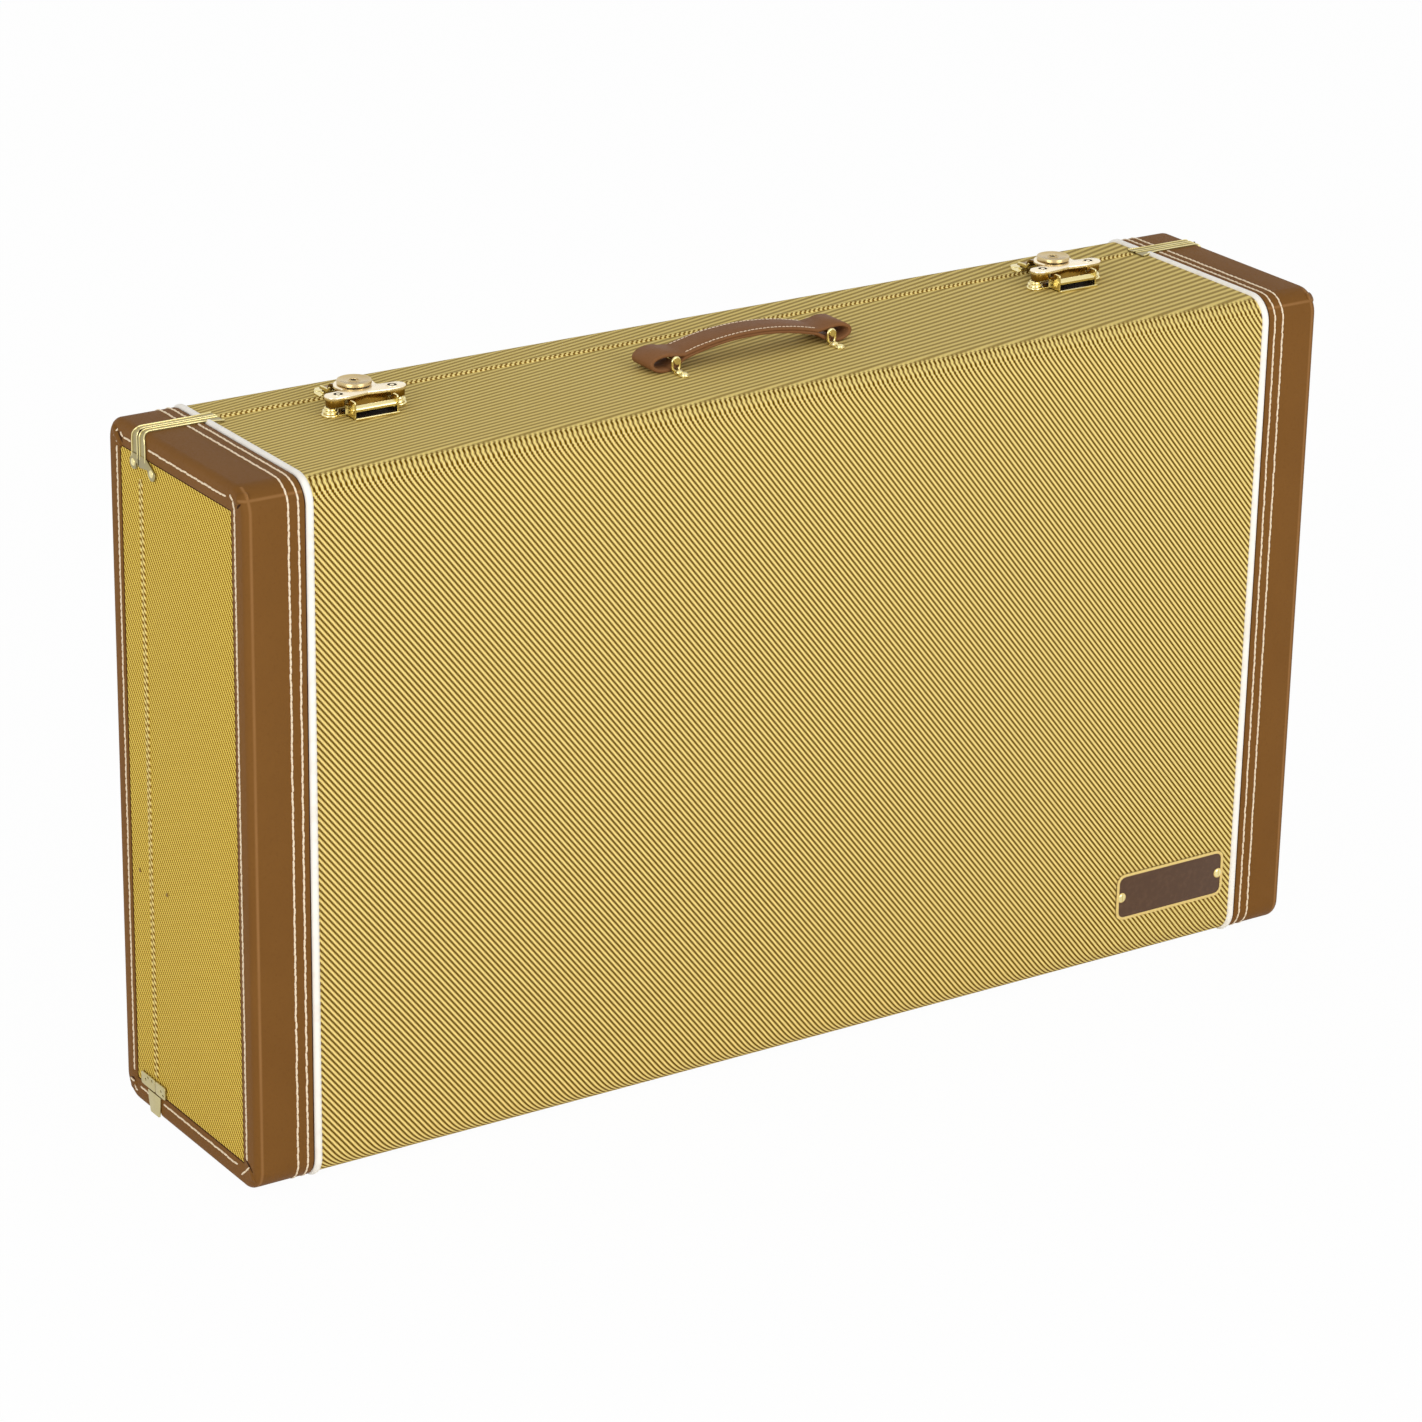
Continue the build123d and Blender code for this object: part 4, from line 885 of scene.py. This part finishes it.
TAB_SPOT = {"deep": (29.8, 458), "lid": (54.7, 459)}
for half, side in SIDES.items():
    strips, rolls, tabs, studs = Form(), Form(), Form(), Form()
    inner_y = SEAM_Y + side * 0.7 * mm
    for end in ENDS.values():
        stations = [(0, 0.4), (1.0, 1)] + [(step, 1) for step in (4, 8, 12, 16, 30, 50.5)]
        path = [((CLIP_INNER_X + step * mm, case_high[2]), (0, 1), step) for step, full in stations]
        centre = (case_high[0] - END_RADIUS, case_high[2] - END_RADIUS)
        for step in range(1, 9):
            turn = math.pi / 2 * (1 - step / 8)
            out = (math.cos(turn), math.sin(turn))
            path.append(((centre[0] + END_RADIUS * out[0], centre[1] + END_RADIUS * out[1]), out, 51 + step))
        path += [((case_high[0], z * mm), (1, 0), 70) for z in (474, 470, 466)]
        path.append(((case_high[0], LEG_END_Z), (1, 0), 71))
        rings, edges = [], ([], [])
        for (x, z), out, mark in path:
            flare = max(0, 1 - mark / 14) * (5 * mm if half == "deep" else 1.5 * mm)
            leg = LEG_WIDTH - CLIP_WIDTH
            width = CLIP_WIDTH + flare + leg * min(max((mark - 54) / 6, 0), 1)
            across = [(0.2, 0), (0.2, 0.9), (0.9, 0.7)]
            profile = [(u * mm, v * mm) for u, v in across]
            profile += [(width - u, v) for u, v in profile[::-1]]
            rings.append([
                (end * (x + out[0] * v), inner_y + side * u, z + out[1] * v) for u, v in profile
            ])
            for edge, at_u in zip(edges, (0.75 * mm, width - 0.75 * mm)):
                ridge = [math.radians(a) for a in range(0, 360, 45)]
                bead = [(at_u + 0.55 * mm * math.cos(t), 0.85 * mm + 0.55 * mm * math.sin(t)) for t in ridge]
                edge.append([(end * (x + out[0] * v), inner_y + side * u, z + out[1] * v) for u, v in bead])
        strips.rings(rings)
        for edge in edges:
            rolls.rings(edge)

        spot_y, spot_z = TAB_SPOT[half]
        face = facing((end * case_high[0], 0, 0), (0, 1, 0), (0, 0, 1), (end, 0, 0))
        edge = (SEAM_Y + side * SEAM_GAP) / mm
        reach = edge + side * LEG_WIDTH / mm
        ring = [(spot_y + 5 * math.cos(t), spot_z + 5 * math.sin(t)) for t in
                [math.radians(a) for a in range(-190, 11, 20)]]
        if side > 0:
            ring = [(2 * spot_y - y, z) for y, z in ring]
        outline = [(edge, 466), (reach, 466), *ring, (edge, 457.5)]
        strips.plate([eased(scaled(outline), 1.2 * mm, 3)], 1.2 * mm, 0.35 * mm, face)
        dome = [(radius * mm, 1.2 * mm + rise * mm) for radius, rise in DOME]
        studs.turned([(2.6 * mm, 0.2 * mm)] + dome, (end * case_high[0], spot_y * mm, spot_z * mm), (end, 0, 0), 20)

        low_y, high_y = {"deep": (33, 46.7), "lid": (47.3, 67)}[half]
        plate = [(low_y, 17), (high_y, 17), (high_y, 26), (low_y, 26)]
        holes = []
        for hole_y, hole_z in {"deep": ((39, 21.5), (36, 19.4)), "lid": ((52, 23.6), (61, 21.5), (57.5, 24))}[half]:
            turns = [math.radians(a) for a in range(0, 360, 30)]
            holes.append(scaled([(hole_y + 0.95 * math.cos(t), hole_z + 0.95 * math.sin(t)) for t in turns]))
        tabs.plate([eased(scaled(plate), 1.6 * mm), *holes], CLIP, 0.3 * mm, face)
        if half == "deep":
            tab = [(40, 16), (58, 16), (57, 10), (54.4, 0.6), (42.4, 0.6), (40.6, 9)]
            tabs.plate([eased(scaled(tab), 1.0 * mm)], CLIP, 0.35 * mm, face)
    if half == "deep":
        shade = Form()
        for end in ENDS.values():
            reach = [(end * CLIP_INNER_X, case_high[2] - 0.5 * mm), (end * case_high[0], case_high[2] - 0.5 * mm)]
            ring = ((46.1, 0), (46.9, 0), (46.9, 1.1), (46.1, 1.1))
            shade.rings([[(x, y * mm, z + h * mm) for y, h in ring] for x, z in reach])
            x = end * (case_high[0] - 0.4 * mm)
            drop = ((46.1, 0), (46.9, 0), (46.9, 1.0), (46.1, 1.0))
            shade.rings([[(x + end * h * mm, y * mm, z * mm) for y, h in drop] for z in (463, 481.5)])
        shade.piece("clip_gap_shade", shade_and_raw_edge, "deep_half", "leather")
    strips.piece(half + "_clip_strips", worn_brass, BODY[half], "brass", ["seam_clips_" + half], smooth=40)
    rolls.piece(half + "_clip_rolled_edges", brass, BODY[half], "brass", smooth=70)
    tabs.piece(half + "_clip_tabs", dull_brass, BODY[half], "brass", smooth=35)
    studs.piece(half + "_clip_rivets", brass, BODY[half], "brass", ["clip_rivets_" + half], smooth=50)


# Stay rivets: the flattened head of each lid stay's stud shows on the end panels.
for half, spot_y, spot_z in (("deep", 24.9, 169.4), ("lid", 63.1, 173.0)):
    heads = Form()
    for end in ENDS.values():
        head = [(1.5 * mm, -0.2 * mm), (1.5 * mm, 0.2 * mm), (1.2 * mm, 0.5 * mm), (0.6 * mm, 0.65 * mm), (0.01 * mm, 0.7 * mm)]
        heads.turned(head, (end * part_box(half + "_tweed_ends")[1][0], spot_y * mm, spot_z * mm), (end, 0, 0), 20)
    heads.piece(half + "_stay_rivet_heads", shaded_brass, BODY[half], "brass", smooth=50)


# Draw latches: a pan with two ears and two stepped feet on the deep half; a hasp that turns on a roller
# between the ears, with a pale three-lobed cover and a hook; a champagne lock disc; a catch on the lid.
LATCH_X = case_high[0] - 144 * mm
LATCH_LOW = wrap_high[2]
PIVOT_Y = -0.5
PIVOT_H = 6.1
LOBES = ((-19.8, 11.5), (19.8, 11.5))
pale_brass = brass_finish("cover_brass", (252, 240, 212), (230, 210, 160), 0.16, 0.34)
champagne = brass_finish("champagne_brass", (206, 184, 136), (166, 140, 92), 0.2, 0.36)
# A near-black finish that paints the shade inside hollows: the pan under the hasp, the eyelets and the keyhole.
shade_black = Finish("dark_inside_shade", Roughness=0.8, Specular_IOR_Level=0.1)
shade_black.feed("Base Color", shade_black.mix(shade_black.noise(0.8 * mm), paint(20, 14, 8), paint(46, 34, 18)))


def cover_reach(angle):
    """How far the hasp's cover goes from (0, 17) at an angle: two long lobes and a boss, blended."""
    def outside(x, y):
        lobes = math.hypot(max(abs(x) - 23.1, 0), y - 11.5) - 6.2 + max(0, 1 - abs(x) / 15) * 2.2
        boss = math.hypot(x, y - 26) - 13.5
        blend = max(0, 1 - abs(lobes - boss) / 5)
        return min(lobes, boss) - blend * blend * 1.25

    reach = 4.0
    while reach < 40 and outside(reach * math.cos(angle), 17 + reach * math.sin(angle)) < 0:
        reach += 0.05
    return reach


turns = [2 * math.pi * step / 112 for step in range(112)]
cover = [(cover_reach(t) * math.cos(t), 17 + cover_reach(t) * math.sin(t)) for t in turns]
circle = [(math.cos(math.radians(a)), math.sin(math.radians(a))) for a in range(0, 360, 24)]


def lathed(points):
    return [(radius * mm, height * mm) for radius, height in points]


for hand, end in ENDS.items():
    place = Matrix.Translation((end * LATCH_X, 0, LATCH_LOW))

    def spot(x, y, h):
        return (end * LATCH_X + x * mm, y * mm, LATCH_LOW + h * mm)

    def upright(x):
        """The place of a plate that stands across the latch: its X and Y are the case's Y and Z."""
        return facing(spot(x, 0, 0), (0, 1, 0), (0, 0, 1), (1, 0, 0))

    base = Form()
    pan = [(-16.2, -4.5), (16.2, -4.5), (16.2, 8)]
    foot = [math.radians(a) for a in range(-130, 131, 20)]
    pan += [(25 + 5.8 * math.cos(t), 13 + 5.8 * math.sin(t)) for t in foot]
    pan += [(16.2, 18), (16.2, 20)]
    pan += [(-x, y) for x, y in pan[::-1]][:-1]
    base.plate([scaled(pan)], 1.2 * mm, 0.3 * mm, place)
    ear = eased(scaled([(-3.6, 0), (9, 0), (9, 8.2), (4.6, 9.2), (2.6, 12), (-3.6, 12)]), 1.4 * mm)
    for way in (-1, 1):
        base.plate([ear], 1.2 * mm, 0.35 * mm, upright(way * 15.6 - 0.6))
        step = [(5.8, 1.0), (5.7, 1.5), (5.2, 1.9), (4.3, 2.0), (4.1, 2.8), (4.9, 3.0), (5.2, 3.4), (4.9, 4.0)]
        step += [(3.9, 4.3), (3.6, 5.0), (3.9, 5.4), (3.7, 5.9), (3.2, 6.2), (2.6, 6.1), (2.1, 5.7), (1.9, 4.8), (0.01, 4.7)]
        base.turned(lathed(step), spot(way * 25, 13, 0))
    lip = facing(spot(0, -4.5, 0), (1, 0, 0), (0, 0, 1), (0, -1, 0))
    base.plate([eased(scaled([(-16.2, 0), (16.2, 0), (16.2, 1.7), (-16.2, 1.7)]), 0.8 * mm)], 1.2 * mm, 0.35 * mm, lip)
    base.piece("latch_pan_" + hand, brass, "deep_half", "brass", ["latch_base_" + hand], smooth=40)
    # Painted shade: a thin near-black plate on the pan floor between the ears stands in for the shade under the hasp.
    pan_shade = Form()
    bed = eased(scaled([(-14.8, -4.2), (14.8, -4.2), (14.8, 16), (-14.8, 16)]), 0.5 * mm)
    pan_shade.plate([bed], 0.2 * mm, 0.05 * mm, place @ Matrix.Translation((0, 0, 1.15 * mm)))
    pan_shade.piece("latch_pan_shade_" + hand, shade_black, "deep_half", "brass")

    hasp = Form()
    roller = [(0.01, -15), (2.2, -15), (2.6, -14.6), (2.6, 14.6), (2.2, 15), (0.01, 15)]
    hasp.turned(lathed(roller), spot(0, PIVOT_Y, PIVOT_H), (1, 0, 0), 32)
    # The web, the skirts under the lobes and the hook take the darker brass, which paints the shade they sit in under
    # the cover.
    tongue = Form()
    web = [(1.6, 5.6), (4.2, 6.0), (7.0, 7.6), (9.4, 10.2), (11.6, 11.5), (14, 11.8), (26, 11.8)]
    rings = []
    for i, (y, h) in enumerate(web):
        after, before = web[min(i + 1, len(web) - 1)], web[max(i - 1, 0)]
        lean = Vector((after[0] - before[0], after[1] - before[1])).normalized()
        ring = [(-14.2, -0.6), (14.2, -0.6), (14.2, 0.6), (-14.2, 0.6)]
        rings.append([spot(x, y - lean.y * off, h + lean.x * off) for x, off in ring])
    tongue.rings(rings)
    for way in (-1, 1):
        skirt = eased(scaled([(22 * way - 6, 6.6), (22 * way + 6, 6.6), (22 * way + 6, 16.4), (22 * way - 6, 16.4)]), 4 * mm)
        tongue.plate([skirt], 4.6 * mm, 0.4 * mm, place @ Matrix.Translation((0, 0, 6.8 * mm)))
    lug = eased(scaled([(-21.4, 8.3), (21.4, 8.3), (21.4, 14.7), (-21.4, 14.7)]), 1.5 * mm)
    hasp.plate([lug], 1.2 * mm, 0.3 * mm, place @ Matrix.Translation((0, 0, 11.2 * mm)))
    hook = [(24, 11.8), (37, 11.7), (40, 11.2), (42, 9.6), (43.2, 7.2), (45, 5.6), (48, 5.2), (54, 5.2)]
    rings = []
    for i, (y, h) in enumerate(hook):
        after, before = hook[min(i + 1, len(hook) - 1)], hook[max(i - 1, 0)]
        lean = Vector((after[0] - before[0], after[1] - before[1])).normalized()
        ring = [(-10, -0.6), (10, -0.6), (10, 0.6), (-10, 0.6)]
        rings.append([spot(x, y - lean.y * off, h + lean.x * off) for x, off in ring])
    tongue.rings(rings)
    tongue.piece("hasp_web_" + hand, shaded_brass, "hasp_" + hand, "brass", smooth=40)
    cheek = eased(scaled([(41, 9.6), (43.4, 7.2), (46, 7.4), (53.4, 7.0), (54, 4.8), (43.6, 4.8), (40.2, 8.4)]), 0.8 * mm)
    for way in (-1, 1):
        hasp.plate([cheek], 1.0 * mm, 0.3 * mm, upright(way * 9.6 - 0.5))
    hasp.piece("hasp_strap_" + hand, brass, "hasp_" + hand, "brass", ["hasp_strip_" + hand], smooth=40)

    plate = Form()
    plate.plate([scaled(cover)], 2.7 * mm, 0.7 * mm, place @ Matrix.Translation((0, 0, 11.4 * mm)))
    eyelet_shade = Form()
    for x, y in LOBES:
        eyelet = [(4.2, 13.9), (4.15, 14.3), (3.9, 14.5), (3.4, 14.45), (3.1, 14.0)]
        plate.turned(lathed(eyelet + [(0.01, 14.0)]), spot(x, y, 0), steps=24)
        plate.turned(lathed([(1.5, 14.0), (1.45, 14.3), (0.9, 14.5), (0.01, 14.55)]), spot(x, y, 0), steps=18)
        # Painted shade: a dark ring round each rivet, inside its eyelet, stands in for the shade in the eyelet's
        # hollow.
        eyelet_shade.turned(lathed([(3.15, 13.9), (3.15, 14.2), (0.01, 14.2)]), spot(x, y, 0), steps=24)
    eyelet_shade.piece("hasp_eyelet_shade_" + hand, shade_black, "hasp_" + hand, "brass")
    plate.piece("hasp_cover_" + hand, pale_brass, "hasp_" + hand, "brass", ["hasp_plate_" + hand], smooth=40)

    disc = Form()
    knob = [(2.9, 9), (2.9, 14.3), (10.9, 14.3), (11.5, 14.7), (11.5, 16.5), (11.2, 16.95), (10.5, 17.1)]
    knob += [(9.9, 17.0), (9.6, 16.75), (4.2, 16.7), (3.9, 17.0), (3.3, 17.05), (2.9, 16.7), (2.8, 16.3), (0.01, 16.3)]
    disc.turned([(0.01 * mm, 9 * mm)] + lathed(knob), spot(0, 26, 0), steps=56)
    cam = eased(scaled([(-3, 23), (9, 23), (9, 29), (-3, 29)]), 1.2 * mm)
    disc.plate([cam], 2 * mm, 0.3 * mm, place @ Matrix.Translation((0, 0, 9 * mm)))
    disc.piece("lock_knob_" + hand, champagne, "lock_disc_" + hand, "brass", ["lock_disc_" + hand], smooth=40)
    # Painted shade: the keyhole is a thin near-black insert on the disc's face, which stands in for the dark of the
    # hole.
    keyhole = Form()
    slot = [(-0.7, 23.6), (0.7, 23.6), (0.8, 26.0)]
    slot += [(1.6 * math.cos(t), 27 + 1.6 * math.sin(t)) for t in [math.radians(a) for a in range(-45, 226, 30)]]
    slot += [(-0.8, 26.0)]
    keyhole.plate([scaled(slot)], 0.4 * mm, 0.05 * mm, place @ Matrix.Translation((0, 0, 16.05 * mm)))
    keyhole.piece("keyhole_" + hand, shade_black, "lock_disc_" + hand, "brass")

    catch = Form()
    seat = [(-12.5, 49), (12.5, 49), (12.5, 57), (7, 66), (-7, 66), (-12.5, 57)]
    catch.plate([eased(scaled(seat), 1.6 * mm)], 1.2 * mm, 0.35 * mm, place)
    wall = facing(spot(0, 49, 0), (1, 0, 0), (0, 0, 1), (0, 1, 0))
    catch.plate([eased(scaled([(-10, 0.4), (10, 0.4), (10, 4), (-10, 4)]), 0.8 * mm)], 3 * mm, 0.6 * mm, wall)
    for way in (-1, 1):
        catch.turned(lathed([(2.6, 1.0), (2.6, 1.2), (2.4, 1.5), (1.6, 1.75), (0.01, 1.8)]), spot(way * 8, 60, 0), steps=20)
    catch.piece("catch_" + hand, brass, "lid", "brass", ["catch_plate_" + hand], smooth=40)

rings_on_feet = Form()
for end in ENDS.values():
    for way in (-1, 1):
        centre = (end * LATCH_X + way * 25 * mm, 13 * mm, LATCH_LOW)
        rings_on_feet.turned(lathed([(1.9, 4.7), (1.9, 4.9), (1.2, 5.4), (0.01, 5.6)]), centre, steps=16)
rings_on_feet.piece("latch_foot_pins", dull_brass, "deep_half", "brass", ["latch_base_rivets"], smooth=50)


# Handle: one strap of two plies of brown leather, edge-stitched, that turns back on itself in an open
# loop round the bar at each end. Four oval brass rings hold the bars to four riveted feet.
HANDLE_X = -3.0
HANDLE_LOW_Y = -20.0
HANDLE_HIGH_Y = 4.0
NECK_X = 53.3
LOOP_X = 68.3
LOOP_HALF_LENGTH = 12.4
LOOP_HALF_HEIGHT = 6.7
NECK = (6.5, 11.3)
MIDDLE = (14.3, 18.4)
ARCH_STEPS = 28
strap_hide = leather_finish("strap_hide", paint(136, 94, 60), paint(104, 68, 42), arris_highlights=False)


def strap_side(low, high):
    """Points along one long face of the strap from neck to neck, as (x, height)."""
    xs = [NECK_X * (2 * step / ARCH_STEPS - 1) for step in range(ARCH_STEPS + 1)]
    return [(x, low + (high - low) * (1 - (x / NECK_X) ** 2)) for x in xs]


def loop_line(way, ply):
    """Points round a loop, from the neck's top to its underside, at a depth below the outer face."""
    long, tall = LOOP_HALF_LENGTH - ply, LOOP_HALF_HEIGHT - ply
    points = []
    for step in range(17):
        turn = math.radians(125 - 250 * step / 16)
        points.append((way * (LOOP_X + long * math.cos(turn)), LOOP_HALF_HEIGHT + tall * math.sin(turn)))
    return points


top_face = strap_side(NECK[1], MIDDLE[1])
base_face = strap_side(NECK[0], MIDDLE[0])
core = strap_side(sum(NECK) / 2, sum(MIDDLE) / 2)
gap = 0.06
outer_line = top_face + loop_line(1, 0) + base_face[::-1] + loop_line(-1, 0)[::-1]
inner_line = [(x, h + gap) for x, h in core] + loop_line(1, 2.7)
inner_line += [(x, h - gap) for x, h in core[::-1]] + loop_line(-1, 2.7)[::-1]
strap = Form()
rings = []
for (outer_x, outer_h), (inner_x, inner_h) in zip(outer_line, inner_line):
    out = Vector((outer_x - inner_x, outer_h - inner_h))
    section = [(0, 0.7), (0, 0.25), (0.7, 0), (23.3, 0), (24, 0.25), (24, 0.7), (23.6, 1), (0.4, 1)]
    ring = []
    for across, share in section:
        x, h = Vector((outer_x, outer_h)) - out * share
        ring.append(((HANDLE_X + x) * mm, (HANDLE_LOW_Y + across) * mm, LATCH_LOW + h * mm))
    rings.append(ring)
strap.rings(rings, closed=True)
strap.piece("strap", strap_hide, "handle", "leather", ["handle_strap"], smooth=70)

seams = Form()
STITCH_PITCH, STITCH_LENGTH, STITCH_RADIUS = 3.1 * mm, 2.5 * mm, 0.34 * mm
for across in (2.2, 21.8):
    for line, way in ((top_face, 1), (base_face, -1)):
        path = [((HANDLE_X + x) * mm, (HANDLE_LOW_Y + across) * mm, LATCH_LOW + h * mm) for x, h in line]
        sew(seams, path, lambda along: (-along.z * way, 0, along.x * way))
seams.piece("strap_stitches", thread, "handle", "leather", smooth=80)

feet = Form()
for end in ENDS.values():
    for facing_y in (-1, 1):
        x, y = HANDLE_X + end * 62.2, -8 + facing_y * 14.1
        place = Matrix.Translation((x * mm, (y + facing_y * 7) * mm, LATCH_LOW))
        outline = [(3.4 * u, (3.4 if v > 0 else 3.4) * v + (3.4 if v > 0 else -3.4)) for u, v in circle]
        feet.plate([scaled(outline)], 1.2 * mm, 0.3 * mm, place)
        for off in (-3.2, 3.2):
            spot = (x * mm, (y + facing_y * 7 + off) * mm, LATCH_LOW)
            feet.turned(lathed([(2.7, 1.0), (2.7, 1.4), (2.3, 2.2), (1.4, 2.8), (0.01, 3.0)]), spot, steps=18)
feet.piece("handle_foot_plates", brass, "deep_half", "brass", ["handle_feet"], smooth=50)


# Name plate: dark brown enamel on pressed brass, with a bare face, a raised cream-gold rim that swells
# round the screw at each end, and two domed slotted screws.
PLATE_X, PLATE_Z = 320.4, 52.1
PLATE_HALF = (48.35, 17.7)
RIM = 2.1
PAD_RADIUS = 3.7
SCREW_REACH = 43.85
enamel = Finish("brown_enamel", Roughness=0.42, Specular_IOR_Level=0.3)
lightening = enamel.noise(4 * mm, 3.0)
enamel.feed("Base Color", enamel.mix(lightening.ramp(0.4, 0.8) * 0.6, paint(82, 56, 36), paint(98, 70, 48)))
enamel.relief(enamel.noise(0.7 * mm), 0.03 * mm)
gilt = Finish("cream_gilt", Roughness=0.4, Specular_IOR_Level=0.3)
gilt.feed("Base Color", gilt.mix(gilt.noise(3 * mm), paint(240, 214, 138), paint(220, 188, 110)))
plate_face = facing((PLATE_X * mm, wrap_low[1], PLATE_Z * mm), (1, 0, 0), (0, 0, 1), (0, -1, 0))
long, tall = PLATE_HALF
outer = eased(scaled([(-long, -tall), (long, -tall), (long, tall), (-long, tall)]), 8 * mm, 8)
body = Form()
body.plate([outer], 1.1 * mm, 0.3 * mm, plate_face)
body.piece("plate_enamel", enamel, "deep_half", "plate_enamel", ["name_plate"], smooth=40)
in_long, in_tall = long - RIM, tall - RIM
swell = math.sqrt(PAD_RADIUS ** 2 - (in_long - SCREW_REACH) ** 2)
half_turn = math.atan2(swell, in_long - SCREW_REACH)
pad = []
for step in range(13):
    turn = -half_turn - (2 * math.pi - 2 * half_turn) * step / 12
    pad.append((SCREW_REACH + PAD_RADIUS * math.cos(turn), PAD_RADIUS * math.sin(turn)))
corner = eased(scaled([(0, -in_tall), (in_long, -in_tall), (in_long, -swell - 0.5)]), 6.5 * mm, 6)[6:13]
right_side = corner + scaled(pad) + [(u, -v) for u, v in corner[::-1]]
inner = right_side + [(-u, -v) for u, v in right_side]
rim = Form()
rim.plate([outer, inner], 1.4 * mm, 0.3 * mm, plate_face)
rim.piece("plate_rim", gilt, "deep_half", "plate_enamel", smooth=40)
screws = Form()
for way in (-1, 1):
    head = lathed([(2.9, 1.2), (2.9, 1.5), (2.5, 1.75), (1.5, 1.95), (0.01, 2.0)])
    spot = ((PLATE_X + way * SCREW_REACH) * mm, wrap_low[1], PLATE_Z * mm)
    screws.turned(head, spot, (0, -1, 0), 28)
screws = screws.piece("plate_screws", brass, "deep_half", "brass", ["name_plate_screws"], smooth=50)
slots = []
for way in (-1, 1):
    x = PLATE_X + way * SCREW_REACH
    slots.append((((x - 0.3) * mm, wrap_low[1] - 3 * mm, (PLATE_Z - 3) * mm), ((x + 0.3) * mm, wrap_low[1] - 1.6 * mm, (PLATE_Z + 3) * mm)))
carve(screws, slots)
